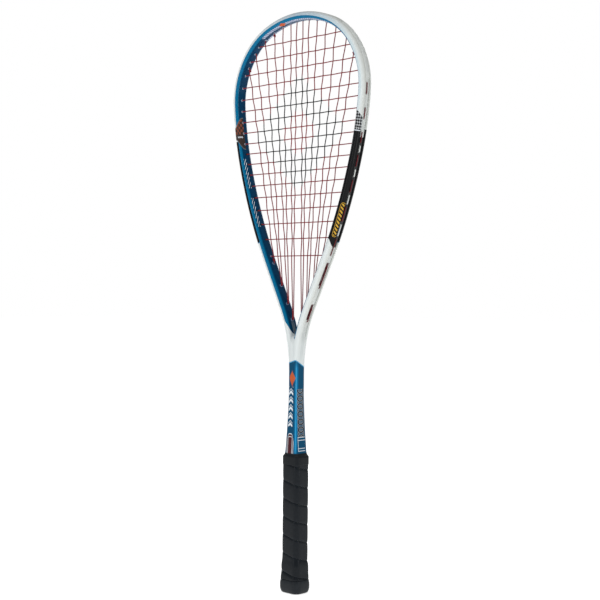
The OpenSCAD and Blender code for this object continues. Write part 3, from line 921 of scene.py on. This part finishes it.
CROSS_HEIGHTS = cross_heights()
CROSS_STATIONS = [station_at_height(z) for z in CROSS_HEIGHTS]
SHOULDER_STATIONS = [station_at_height(TOTAL_LENGTH - drop) for drop in SHOULDER_DROPS]
ARM_BEGINS = THROAT_BEGINS - STRETCHES[-2][1]
THROAT_STATIONS = [
    station_where(lambda s: at(s, -HOOP_HALF[0], 0).z > TOTAL_LENGTH - drop, ARM_BEGINS, THROAT_ENDS)
    for drop in THROAT_DROPS
]
CROWN_STATIONS = [station_where(lambda s: place(s)[0] < x * 1.01, 0, 90) for x in CROWN_X]


def throat_end(k):
    side = 0 if k == 0 else 1 if k % 2 else -1
    mouth = at(THROAT_STATIONS[MAIN_THROAT[k]], -TUBE_MOUTH, LAYER)
    return mouth + Vector((side * PAIR_SPLIT, 0, 0))


def shoulder_mouth(k):
    x, z, heading = place(SHOULDER_STATIONS[k])
    return Vector((x - HOOP_HALF[0] / math.sin(heading) - BARREL_SHOW, LAYER, z))


def main_line(k):
    """The two ends of main string k of the right side, at its throat hole and at its top hole."""
    low = throat_end(k)
    return low, shoulder_mouth(k) - Vector((0.9, 0, 0)) if k < 2 else at(CROWN_STATIONS[k - 2], 0, LAYER)


# A hole is (middle, outward direction, how squarely that meets the tube, barrel radius, bore).
CROSS_BARREL = (1.35, 0.75)
THROAT_BARREL = (2, 1.45)


def cross_hole(station, back):
    x, z, heading = place(station)
    return (Vector((x, back, z)), Vector((1, 0, 0)), math.sin(heading), *CROSS_BARREL)


def crown_hole(k):
    low, high = main_line(k)
    way = (high - low).normalized()
    heading = place(CROWN_STATIONS[k - 2])[2]
    return (high, way, way.x * math.sin(heading) + way.z * math.cos(heading), *CROSS_BARREL)


def throat_hole(i):
    heading = place(THROAT_STATIONS[i])[2]
    middle = at(THROAT_STATIONS[i], 0, 0)
    return (middle, Vector((math.sin(heading), 0, math.cos(heading))), 1, *THROAT_BARREL)


# ---- Strings along paths ----
STRING_SIDES = 10
EASE_STEPS = 6


def add_string(shape, path, radius=STRING_RADIUS, sides=STRING_SIDES, start=None):
    """A round string along a path. Its rings lie level, or carry on from a start without twisting."""
    rings = []
    along = []
    total = 0
    across = start
    for i, point in enumerate(path):
        before = path[max(i - 1, 0)]
        after = path[min(i + 1, len(path) - 1)]
        way = (after - before).normalized()
        if start is None:
            across = Vector((0, 1, 0))
        across = (across - way * across.dot(way)).normalized()
        other = way.cross(across)
        total += (point - before).length
        rings.append([point + (across * math.cos(a) + other * math.sin(a)) * radius for a in circle(sides)])
        along.append(total)
    shape.add_rings(rings, along=along)


def woven_path(start, end, crossings):
    """A path from start to end that eases from side to side; a crossing is (share, back)."""
    stops = [(0, start.y)] + crossings + [(1, end.y)]
    path = []
    for (from_share, from_back), (to_share, to_back) in zip(stops, stops[1:]):
        for step in range(EASE_STEPS):
            part = step / EASE_STEPS
            point = start.lerp(end, mix(from_share, to_share, part))
            point.y = mix(from_back, to_back, ease(part))
            path.append(point)
    path.append(end.copy())
    return path


def string_ends():
    """Main strings from left to right as (low, high)."""
    right = [main_line(k) for k in range(len(MAIN_THROAT))]
    flip = Vector((-1, 1, 1))
    return [(low * flip, high * flip) for low, high in right] + right[::-1]


MAINS = string_ends()


def cross_side(number, index):
    """Whether a cross string passes in front of a main string, as -1 or 1."""
    return -1 if (number + index) % 2 == 0 else 1


def crossing_x(main, z):
    low, high = main
    share = (z - low.z) / (high.z - low.z)
    return low.x + (high.x - low.x) * share, share


def inner_x(z):
    x, _, heading = place(station_at_height(z))
    return x - HOOP_HALF[0] / math.sin(heading)


def meets(main, z):
    x, share = crossing_x(main, z)
    return 0.01 < share < 0.99 and abs(x) < inner_x(z) - 2


BEND_REACH = 1.6
BEND_STEPS = 6


def bent_end(lead, corner, rest):
    """Joins a lead-in to the rest of a path round a softened corner."""
    before = lead[-1]
    onward = rest[0] - corner
    after = corner + onward.normalized() * min(BEND_REACH, onward.length * 0.8)
    bend = []
    for step in range(1, BEND_STEPS):
        share = step / BEND_STEPS
        bend.append(before.lerp(corner, share).lerp(corner.lerp(after, share), share))
    return lead + bend + [after] + rest


THROAT_TAIL = 3               # how far a main's end reaches into the throat's wall
SHOULDER_TAIL = (1.4, 4)      # how far past its mouth an outer main straightens and ends


def main_strings_mesh():
    shape = Shape("along")
    for index, (low, high) in enumerate(MAINS):
        k = min(index, len(MAINS) - 1 - index)
        crossings = []
        for number, z in enumerate(CROSS_HEIGHTS, 1):
            if meets((low, high), z):
                share = crossing_x((low, high), z)[1]
                crossings.append((share, -LAYER * cross_side(number, index)))
        path = woven_path(low, high, sorted(crossings))
        sign = -1 if low.x < 0 else 1
        inside = at(THROAT_STATIONS[MAIN_THROAT[k]] * sign, THROAT_TAIL - HOOP_HALF[0], LAYER)
        path = bent_end([inside, inside.lerp(low, 0.7)], low, path[1:])
        if k < 2:
            mouth = shoulder_mouth(k)
            deep = Vector(((mouth.x + SHOULDER_TAIL[1]) * sign, LAYER, mouth.z))
            path = bent_end([deep, high + Vector((SHOULDER_TAIL[0] * sign, 0, 0))], high, path[-2::-1])
        add_string(shape, path)
    return shape.mesh("woven_mains")


CROSS_TAIL = 5                # how far a cross reaches into the tube's wall
STRAIGHT_END = 4.6            # the part of each end that isn't woven


def cross_strings_mesh():
    shape = Shape("along")
    for number, z in enumerate(CROSS_HEIGHTS, 1):
        end = Vector((inner_x(z) + CROSS_TAIL, -LAYER, z))
        start = Vector((-end.x, -LAYER, z))
        width = end.x - start.x
        crossings = [(STRAIGHT_END / width, -LAYER)]
        for index, main in enumerate(MAINS):
            if meets(main, z):
                share = (crossing_x(main, z)[0] - start.x) / width
                crossings.append((share, LAYER * cross_side(number, index)))
        crossings.append((1 - STRAIGHT_END / width, -LAYER))
        add_string(shape, woven_path(start, end, crossings))
    return shape.mesh("woven_crosses")


# ---- String runs in the groove ----
DIVE = 1.9
DIVE_DEPTH = 3.2


def groove_run(shape, first, last, hole_back, lane):
    """A stretch of string that comes up out of one hole, lies in the groove and dives into the next."""
    way = 1 if last > first else -1
    length = abs(last - first)
    path = []
    steps = spread(0, DIVE, 0.25) + spread(DIVE, length - DIVE, 2.5)
    for along in steps + spread(length - DIVE, length, 0.25):
        near = min(along, length - along) / DIVE
        rise = 1 - (1 - clamp(near)) ** 3
        out = mix(RUN_OUT - DIVE_DEPTH, RUN_OUT, rise)
        path.append(at(first + way * along, out, mix(hole_back, lane, ease(near))))
    path.append(at(last, RUN_OUT - DIVE_DEPTH, hole_back))
    add_string(shape, path)


def groove_runs_mesh():
    """Every run: two neighbouring holes, the side, how far back the holes lie, and the run's lane."""
    runs = [
        (CROSS_STATIONS, i, i + 1, sign, -LAYER, -RUN_LANE)
        for sign, first in ((1, 0), (-1, 1)) for i in range(first, CROSS_COUNT - 1, 2)
    ]
    for sign in (-1, 1):
        runs += [(CROWN_STATIONS, above, above - 1, sign, LAYER, RUN_LANE) for above in (2, 4)]
        runs.append((SHOULDER_STATIONS, 1, 0, sign, LAYER, RUN_LANE))
        runs += [(THROAT_STATIONS, above, above + 1, sign, 0, RUN_LANE) for above in (0, 2)]
    shape = Shape("along")
    for stations, first, last, sign, back, lane in runs:
        groove_run(shape, sign * stations[first], sign * stations[last], back, lane)
    return shape.mesh("groove_runs")


# ---- Grommet strips ----
STRIP_HALF = GROOVE_WIDTH / 2 - 0.2
STRIP_FOOT = [(STRIP_BASE, 0), (STRIP_BASE, STRIP_HALF - 0.15), (STRIP_BASE + 0.15, STRIP_HALF)]
RAIL_TOP = HOOP_HALF[0] - 0.3
RAIL_FOOT = STRIP_TOP - RAIL_TOP
HOOD_ENDS = 147                    # the guard's thin tail hides the runs down to here
STRIP_PITCH = 2.4


def strip_section(top, steps):
    """A strip's section. After its foot, a step is (how far above the top, how far in from the side)."""
    half = STRIP_FOOT + [(top + rise, STRIP_HALF - inset) for rise, inset in steps]
    return half + mirrored(half[1:-1])


FLAT_STRIP = strip_section(
    STRIP_TOP, [(-0.3, 0), (-0.09, 0.09), (0, 0.3), (0, 0.9), (-0.12, 1.1), (-0.12, STRIP_HALF)]
)
RAILED_STRIP = strip_section(
    RAIL_TOP, [
        (-0.4, 0), (-0.12, 0.12), (0, 0.4), (0, 0.75), (-0.1, 1), (-0.3, 1.1),
        (RAIL_FOOT + 0.2, 1.15), (RAIL_FOOT, 1.35), (RAIL_FOOT, STRIP_HALF)
    ]
)
HOODED_STRIP = strip_section(
    RAIL_TOP, [(-0.4, 0), (0, 0.15), (0.35, 0.6), (0.6, 1.4), (0.7, STRIP_HALF)]
)


def add_strip(shape, first, last, section, tone=0):
    """A strip along the groove, whose ends draw in over half a millimetre."""
    stations = [first, first + 0.15, first + 0.5] + spread(first + 0.9, last - 0.9, STRIP_PITCH)
    stations += [last - 0.9, last - 0.5, last - 0.15, last]
    rings = []
    for station in stations:
        near = clamp(min(station - first, last - station) / 0.5)
        shrink = mix(0.55, 1, math.sqrt(near * (2 - near)))
        rings.append([
            at(station, STRIP_BASE + (out - STRIP_BASE) * shrink, back * mix(0.93, 1, shrink))
            for out, back in section
        ])
    shape.add_rings(rings, tone=tone)


BARREL_SIDES = 24
BARREL_SUNK = 2.2                  # how deep a collar starts inside the tube's wall
COLLAR_TONE = 0.25                 # what a collar's tone adds to its strip's


def add_barrel(shape, hole, tone=0):
    """The collar that shows inside the head, and the raised eye where the string leaves the strip."""
    middle, way, square, radius, bore = hole
    across = Vector((0, 1, 0))
    other = way.cross(across)
    face = HOOP_HALF[0] / square + BARREL_SHOW
    sunk = face - BARREL_SHOW - BARREL_SUNK
    top = (STRIP_TOP - 0.1) / square
    collar = [
        (radius, sunk), (radius, face - 0.3), (radius - 0.07, face - 0.12), (radius - 0.22, face),
        (bore + 0.2, face), (bore + 0.05, face - 0.08), (bore, face - 0.25), (bore, sunk)
    ]
    eye = [
        (bore, -top + 0.6), (bore, -top - 0.12), (bore + 0.1, -top - 0.26), (bore + 0.32, -top - 0.26),
        (bore + 0.5, -top - 0.1), (bore + 0.55, -top + 0.6)
    ]
    for profile, shade in ((collar, tone + COLLAR_TONE), (eye, tone)):
        rings = []
        for angle in circle(BARREL_SIDES):
            arm = across * math.cos(angle) + other * math.sin(angle)
            rings.append([middle + arm * r - way * depth for r, depth in profile])
        shape.add_rings(rings, closed=True, tone=shade)


RIB_HALF = 0.75


def add_rib(shape, first, last):
    """A raised rib between two holes that have no run of string between them."""
    stations = [first, first + 0.4, first + 1] + spread(first + 1.5, last - 1.5, STRIP_PITCH)
    stations += [last - 1, last - 0.4, last]
    low = STRIP_TOP - 0.5
    rings = []
    for station in stations:
        near = clamp(min(station - first, last - station))
        top = mix(STRIP_TOP - 0.3, STRIP_TOP + 0.95, math.sqrt(near * (2 - near)))
        side = [(low, -RIB_HALF), (top - 0.25, -RIB_HALF), (top, 0.25 - RIB_HALF)]
        rings.append([at(station, out, back) for out, back in side + mirrored(side)])
    shape.add_rings(rings, tone=1)


STRIP_GAP = 0.4
BUMPER_ENDS = (CROWN_STATIONS[0] + CROSS_STATIONS[0]) / 2
UPPER_ENDS = (CROSS_STATIONS[8] + CROSS_STATIONS[9]) / 2
THROAT_STRIP_BEGINS = (CROSS_STATIONS[16] + CROSS_STATIONS[17]) / 2
THROAT_STRIP_ENDS = THROAT_STATIONS[3] + 7
HOLE_ROOM = 2.6


def bumper_mesh():
    shape = Shape("tone")
    add_strip(shape, -BUMPER_ENDS, BUMPER_ENDS, RAILED_STRIP)
    add_strip(shape, -HOOD_ENDS, -BUMPER_ENDS, HOODED_STRIP)
    add_strip(shape, BUMPER_ENDS, HOOD_ENDS, HOODED_STRIP)
    for k in range(2, len(MAIN_THROAT)):
        middle, way, *sizes = crown_hole(k)
        for flip in (Vector((-1, 1, 1)), Vector((1, 1, 1))):
            add_barrel(shape, (middle * flip, way * flip, *sizes))
    return shape.mesh("bumper_strip")


def arm_strip_mesh(name, first, last, holes, ribs, sign, tone):
    """A strip of the right arm, or its mirror image on the left if sign is -1."""
    shape = Shape("tone")
    add_strip(shape, first, last, FLAT_STRIP, tone)
    for hole in holes:
        add_barrel(shape, hole, tone)
    for above, below in ribs:
        add_rib(shape, above + HOLE_ROOM, below - HOLE_ROOM)
    mesh = shape.mesh(name)
    if sign < 0:
        for vertex in mesh.vertices:
            vertex.co.x = -vertex.co.x
        mesh.flip_normals()
    return mesh


FIRST_RIB = 10


def free_gaps(sign):
    """Pairs of neighbouring lower cross holes that no run joins on this side."""
    joined = 1 if sign > 0 else 0
    numbers = range(FIRST_RIB, CROSS_COUNT - 1)
    return [(CROSS_STATIONS[i - 1], CROSS_STATIONS[i]) for i in numbers if i % 2 != joined]


UPPER_HOLES = [cross_hole(CROSS_STATIONS[i], -LAYER) for i in range(9)]
UPPER_HOLES += [cross_hole(station, LAYER) for station in SHOULDER_STATIONS]
LOWER_HOLES = [cross_hole(CROSS_STATIONS[i], -LAYER) for i in range(9, CROSS_COUNT - 1)]
THROAT_HOLES = [cross_hole(CROSS_STATIONS[-1], -LAYER)] + [throat_hole(i) for i in range(4)]


# ---- Tie-off knots ----
KNOT_INSET = 3.2
KNOT_TURNS = 2.2
KNOT_STEPS = 30
KNOT_RADIUS = 0.52
KNOT_SIDES = 8


def add_knot(shape, start, towards):
    """Two tight turns of string round a string's end, and a short tail."""
    way = (towards - start).normalized()
    middle = start + way * KNOT_INSET
    across = (Vector((0, 1, 0)) - way * way.y).normalized()
    other = way.cross(across)
    path = []
    for step in range(KNOT_STEPS + 1):
        share = step / KNOT_STEPS
        angle = 2 * math.pi * KNOT_TURNS * share
        out = 1.05 - 0.12 * math.cos(2 * math.pi * share)
        turn = across * math.cos(angle) + other * math.sin(angle)
        path.append(middle + way * mix(-0.9, 0.9, share) + turn * out)
    tail = path[-1] + way * 1.2 + across * -0.8 + other * 0.9
    path += [path[-1].lerp(tail, 0.5), tail]
    add_string(shape, path, KNOT_RADIUS, KNOT_SIDES, Vector((0.3, 0.8, 0.5)))


def knots_mesh():
    shape = Shape("along")
    first_low, first_high = MAINS[0]
    last_low, last_high = MAINS[-1]
    low, high = MAINS[3]
    inside = high + (low - high).normalized() * (HOOP_HALF[0] + 0.5)
    for start, towards in (
        (last_high, last_low), (first_high, first_low), (first_low, first_high), (inside, low)
    ):
        add_knot(shape, start, towards)
    return shape.mesh("tie_off_knots")


# ---- Handle ----
GRIP_HALF = (13.75, 12)
BEVEL = 4.5
WRAP_PITCH = 21.5
WRAP_DEEP = 1.6
CAP_TOP = 16
SLEEVE_TOP = 32
WRAP_FLARE = 0.65
FLARE_HEIGHT = 9
OCTAGON_ROUND = 1.5


OUTLINE_STEPS = 4
FLAT_PIECES = 3


def between(start, end, share):
    return (mix(start[0], end[0], share), mix(start[1], end[1], share))


def toward(start, end, distance):
    length = math.dist(start, end)
    return between(start, end, min(distance, length * 0.45) / length)


def round_octagon(half, bevel, corner=OCTAGON_ROUND):
    """A rounded octagon as (x, y) points: an arc at each corner, then points along the flat."""
    a, b = half
    corners = [
        (a, -b + bevel), (a, b - bevel), (a - bevel, b), (-a + bevel, b),
        (-a, b - bevel), (-a, -b + bevel), (-a + bevel, -b), (a - bevel, -b)
    ]
    points = []
    for i, here in enumerate(corners):
        after = corners[(i + 1) % len(corners)]
        first = toward(here, corners[i - 1], corner)
        last = toward(here, after, corner)
        for step in range(OUTLINE_STEPS + 1):
            share = step / OUTLINE_STEPS
            points.append(between(between(first, here, share), between(here, last, share), share))
        for piece in range(1, FLAT_PIECES):
            points.append(between(last, toward(after, here, corner), piece / FLAT_PIECES))
    return points


def level_ring(outline, z):
    return [Vector((x, y, z)) for x, y in outline]


def outline_shares():
    """How far round the outline each of its points lies, from 0 to 1."""
    points = round_octagon(GRIP_HALF, BEVEL)
    lengths = [math.dist(points[i - 1], here) for i, here in enumerate(points)]
    return [sum(lengths[1:i + 1]) / sum(lengths) for i in range(len(points))]


SHARES = outline_shares()


def grip_swell(z):
    """How much further out the wrap lies near the cap, over its sleeve."""
    flare = WRAP_FLARE * (1 - ease((z - CAP_TOP - 0.2) / FLARE_HEIGHT))
    return flare + clamp((SLEEVE_TOP + 8 - z) / 8)


EDGE_DROP = 0.62
CROWNING = 0.22


def wrap_profile(share):
    """How far below its full thickness the wrap's surface is, from its lower edge to its upper."""
    edge = min(share, 1 - share) / 0.14
    rolled = EDGE_DROP * (1 - math.sqrt(1 - (1 - clamp(edge)) ** 2)) if edge < 1 else 0
    return rolled + CROWNING * (2 * share - 1) ** 2


WRAP_ACROSS = [
    0, 0.012, 0.035, 0.07, 0.11, 0.16, 0.26, 0.38, 0.5, 0.62, 0.74, 0.84, 0.89, 0.93, 0.965, 0.988, 1
]
WRAP_UNDER = [1, 0.5, 0]
WRAP_BOTTOM = CAP_TOP + 0.25
WRAP_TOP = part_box("grip_wrap")[1].z / MM - 0.1
WRAP_SEAM = 0.12
WRAP_LEAST = 0.3              # a turn that shows less than this is left out


def grip_mesh():
    """One strip wound up the handle: a ring across the strip at each step round the octagon."""
    shape = Shape("strip")
    turns = (WRAP_TOP - WRAP_BOTTOM) / WRAP_PITCH + 1
    size = len(SHARES)
    rings = []
    for step in range(int(turns * size) + 1):
        index = step % size
        low = WRAP_BOTTOM + (step // size + SHARES[index] - 1) * WRAP_PITCH
        high = low + WRAP_PITCH - WRAP_SEAM
        foot = clamp(low, WRAP_BOTTOM, WRAP_TOP)
        head = clamp(high, WRAP_BOTTOM, WRAP_TOP)
        if head - foot < WRAP_LEAST:
            continue
        drops = [wrap_drop(a, low, high, foot, head) for a in WRAP_ACROSS]
        drops += [WRAP_DEEP - 0.25] * len(WRAP_UNDER)
        rings.append([
            wrap_point(index, mix(foot, head, a), drop) for a, drop in zip(WRAP_ACROSS + WRAP_UNDER, drops)
        ])
    shape.add_rings(rings, strip=[WRAP_ACROSS + WRAP_UNDER] * len(rings))
    return shape.mesh("wound_grip")


def wrap_drop(share, low, high, foot, head):
    """The drop at a share of what shows of the strip, where one edge may be cut off level."""
    z = mix(foot, head, share)
    whole = clamp((z - low) / (high - low))
    cut = min(z - WRAP_BOTTOM, WRAP_TOP - z) / 1.2
    rolled = 0.5 * (1 - math.sqrt(1 - (1 - clamp(cut)) ** 2)) if cut < 1 else 0
    return min(WRAP_DEEP - 0.3, max(wrap_profile(whole), rolled))


def wrap_point(index, z, drop):
    grow = grip_swell(z) - drop
    half = (GRIP_HALF[0] + grow, GRIP_HALF[1] + grow)
    x, y = round_octagon(half, BEVEL + 0.5 * grow)[index]
    return Vector((x, -y, z))


TAPE_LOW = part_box("finishing_tape")[0].z / MM
TAPE_SHOULDER = GRIP_TOP - 4
TAPE_COLLAR = shaft_half(GRIP_TOP)
TAPE_THICK = 0.6


def tape_mesh():
    """A band of tape over the wrap's end, drawn in to the shaft's collar."""
    heights = [TAPE_LOW, TAPE_LOW + 0.08, TAPE_LOW + 0.25] + spread(TAPE_LOW + 0.6, TAPE_SHOULDER - 1.5, 1)
    heights += spread(TAPE_SHOULDER - 1.5, GRIP_TOP + 0.2, 0.5) + [GRIP_TOP + 0.3, GRIP_TOP + 0.38]
    rings = [tape_ring(z) for z in heights]
    rings += [tape_ring(z, TAPE_THICK) for z in (GRIP_TOP + 0.2, TAPE_LOW + 1)]
    shape = Shape()
    shape.add_rings(rings, closed=True)
    return shape.mesh("tape_band")


def tape_ring(z, sunk=0.0):
    share = clamp((z - TAPE_SHOULDER) / (GRIP_TOP - TAPE_SHOULDER))
    draw = ease(share * 0.86 + 0.07) if share > 0 else 0
    draw = clamp((draw - ease(0.07)) / (ease(0.93) - ease(0.07)))
    edge = 0.2 * clamp(1 - (z - TAPE_LOW) / 0.25) ** 2
    ripple = 0.07 * math.sin(z * 2.1) * math.sin(math.pi * share)
    out = 0.3 - edge - sunk + ripple
    half = [mix(grip, collar + 0.1, draw) + out for grip, collar in zip(GRIP_HALF, TAPE_COLLAR)]
    return level_ring(round_octagon(half, mix(BEVEL, BEVEL - 1, draw), mix(1.8, 2.6, draw)), z)


def half_size(node):
    """Half a CAD node's width and half its depth."""
    low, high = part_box(node)
    return ((high.x - low.x) / 2 / MM, (high.y - low.y) / 2 / MM)


CAP_PROFILE = [
    (-4.5, 0), (-3.4, 0.05), (-2.5, 0.35), (-1.75, 0.95), (-1.2, 1.8), (-0.75, 3), (-0.35, 4.4),
    (-0.08, 6), (0, 7.6), (0, 9.4), (-0.06, 11.2), (-0.3, 13.2), (-0.62, 14.8), (-0.78, 15.4),
    (-1.02, 15.8), (-1.4, 16)
]
BADGE_HALF = (8, 5.5)
BADGE_DEEP = 0.9


BADGE_RECESS = [(BADGE_DEEP, -0.3), (BADGE_DEEP, 0), (0.15, 0), (0.03, 0.12), (0, 0.4)]
CAP_WALL = 3.2
CAP_FLOOR = 3
CAP_CORNER = 2.6


def cap_mesh():
    """The butt cap's outside, from the badge's recess round the rounded foot to its top edge."""
    a, b = half_size("butt_cap")
    bevel = BEVEL + 1
    rings = [badge_ring(z, grow) for z, grow in BADGE_RECESS]
    for out, z in CAP_PROFILE:
        rings.append(level_ring(round_octagon((a + out, b + out), bevel + out * 0.35, CAP_CORNER), z))
    inside = round_octagon((a - CAP_WALL, b - CAP_WALL), bevel - 1.2, 2)
    rings += [level_ring(inside, CAP_TOP - 0.2), level_ring(inside, CAP_FLOOR)]
    shape = Shape()
    shape.add_rings(rings)
    return shape.mesh("cap_shell")


def badge_ring(z, grow):
    """The recess's oval, with a point for each point of the octagon, at the same bearing."""
    outline = []
    for x, y in round_octagon(GRIP_HALF, BEVEL):
        angle = math.atan2(y / GRIP_HALF[1], x / GRIP_HALF[0])
        outline.append(((BADGE_HALF[0] + grow) * math.cos(angle), (BADGE_HALF[1] + grow) * math.sin(angle)))
    return level_ring(outline, z)


BADGE_SIDES = 48
BADGE_PROFILE = [
    (1, 0.82), (1, 0.4), (0.985, 0.33), (0.95, 0.3), (0.9, 0.31), (0.87, 0.36), (0.84, 0.46),
    (0.7, 0.44), (0.5, 0.43), (0.25, 0.42), (0.05, 0.42)
]
LOZENGE_HALF = (4.6, 2.9)
LOZENGE_PROFILE = [(1, 0.45), (1, 0.36), (0.93, 0.31), (0.6, 0.31), (0.53, 0.36), (0.53, 0.45)]
DIAMOND = [(1, 0), (0.5, 0.5), (0, 1), (-0.5, 0.5), (-1, 0), (-0.5, -0.5), (0, -1), (0.5, -0.5)]


def badge_mesh():
    """The end badge: a shallow dished oval with a raised rim and a plain raised lozenge."""
    oval = [(math.cos(angle), math.sin(angle)) for angle in circle(BADGE_SIDES)]
    heights = [z for _, z in BADGE_PROFILE]
    shape = Shape("lift")
    for (a, b), outline, profile, lift in (
        (half_size("end_badge"), oval, BADGE_PROFILE, heights), (LOZENGE_HALF, DIAMOND, LOZENGE_PROFILE, 0)
    ):
        rings = [level_ring([(a * size * x, b * size * y) for x, y in outline], z) for size, z in profile]
        shape.add_rings(rings, lift=lift)
    return shape.mesh("badge_disc")


NYLON = grommet_material()
COAT = string_material("string_coat", rgb(134, 36, 44))
# The runs in the groove get a darker copy of the string's coat, as painted shade.
SHADED_COAT = string_material("shaded_groove_string", rgb(98, 28, 34))
finish_piece(bumper_mesh(), "head_bumper", NYLON)
for side, sign in (("right", 1), ("left", -1)):
    for part, first, last, holes, ribs, tone in (
        ("upper", BUMPER_ENDS + STRIP_GAP, UPPER_ENDS, UPPER_HOLES, [], 0),
        ("lower", UPPER_ENDS + STRIP_GAP, THROAT_STRIP_BEGINS - STRIP_GAP, LOWER_HOLES, free_gaps(sign), 0.5),
        ("throat", THROAT_STRIP_BEGINS, THROAT_STRIP_ENDS, THROAT_HOLES, [], 0)
    ):
        strip = arm_strip_mesh(f"{side}_{part}_strip", first, last, holes, ribs, sign, tone)
        finish_piece(strip, f"{side}_{part}_grommets", NYLON)
finish_piece(main_strings_mesh(), "main_strings", COAT)
finish_piece(cross_strings_mesh(), "cross_strings", COAT)
finish_piece(groove_runs_mesh(), "outer_string_runs", SHADED_COAT)
finish_piece(knots_mesh(), "string_knots", COAT)
finish_piece(grip_mesh(), "grip_wrap", grip_material())
finish_piece(tape_mesh(), "finishing_tape", tape_material())
finish_piece(cap_mesh(), "butt_cap", rubber_material("cap_rubber", rgb(29, 33, 37), 0.38))
finish_piece(badge_mesh(), "end_badge", badge_material())
FOAM = foam_material("pallet_foam", rgb(196, 190, 170))
dress("front_pallet", FOAM)
dress("back_pallet", FOAM)
dress("shaft_end_plug", foam_material("plug_foam", rgb(60, 62, 66)))
dress("butt_staples", steel_material())


# ---- Floor, light and background ----
FLOOR_HALF = 12               # metres
FLOOR_GLOW = 0.66             # lifts the floor to the white of the background
WHITE = (1, 1, 1, 1)


def add_floor():
    mesh = bpy.data.meshes.new("floor")
    corners = [(x * FLOOR_HALF, y * FLOOR_HALF, 0) for x, y in ((-1, -1), (1, -1), (1, 1), (-1, 1))]
    mesh.from_pydata(corners, [], [(0, 1, 2, 3)])
    paper = Surface(
        "floor_paper", (0.9, 0.9, 0.9, 1), Roughness=0.9, Specular_IOR_Level=0.1,
        Emission_Color=WHITE, Emission_Strength=FLOOR_GLOW
    )
    paper.shade(paper.noise(400, 1), 0.02)
    mesh.materials.append(paper.done())
    floor = add_object("floor", mesh)


def add_soft_light(name, azimuth, height, distance, size, power):
    """A soft box that aims at the middle of the racket. Its azimuth is from the front to the right."""
    turn = math.radians(azimuth)
    away = Vector((math.sin(turn) * distance, -math.cos(turn) * distance, height))
    target = Vector((0, 0, TOTAL_LENGTH * MM / 2))
    lamp = bpy.data.lights.new(name, "AREA")
    lamp.shape = "RECTANGLE"
    lamp.size, lamp.size_y = size
    lamp.energy = power
    light = add_object(name, lamp)
    light.location = away
    light.rotation_euler = (target - away).to_track_quat("-Z", "Y").to_euler()


def light_the_sky(strength, seen):
    """An even white studio: a softer light on the racket than the white that the camera sees."""
    world = bpy.data.worlds.new("studio")
    bpy.context.scene.world = world
    world.use_nodes = True
    tree = world.node_tree
    sky = tree.nodes["Background"]
    sky.inputs["Color"].default_value = WHITE
    path = tree.nodes.new("ShaderNodeLightPath")
    level = tree.nodes.new("ShaderNodeMapRange")
    level.inputs["To Min"].default_value = strength
    level.inputs["To Max"].default_value = seen
    tree.links.new(path.outputs["Is Camera Ray"], level.inputs["Value"])
    tree.links.new(level.outputs[0], sky.inputs["Strength"])


add_floor()
add_soft_light("key", azimuth=5, height=0.7, distance=1.5, size=(0.3, 1.2), power=5)
add_soft_light("side", azimuth=84, height=0.5, distance=1.5, size=(0.3, 1.2), power=4.5)
add_soft_light("rim", azimuth=-100, height=0.5, distance=1.5, size=(0.25, 1.3), power=5)
add_soft_light("back", azimuth=205, height=0.8, distance=1.6, size=(0.5, 1.2), power=5)
add_soft_light("top", azimuth=30, height=2.6, distance=0.5, size=(1.4, 1.4), power=10)
light_the_sky(strength=0.4, seen=1)
bpy.context.scene.view_settings.view_transform = "Standard"
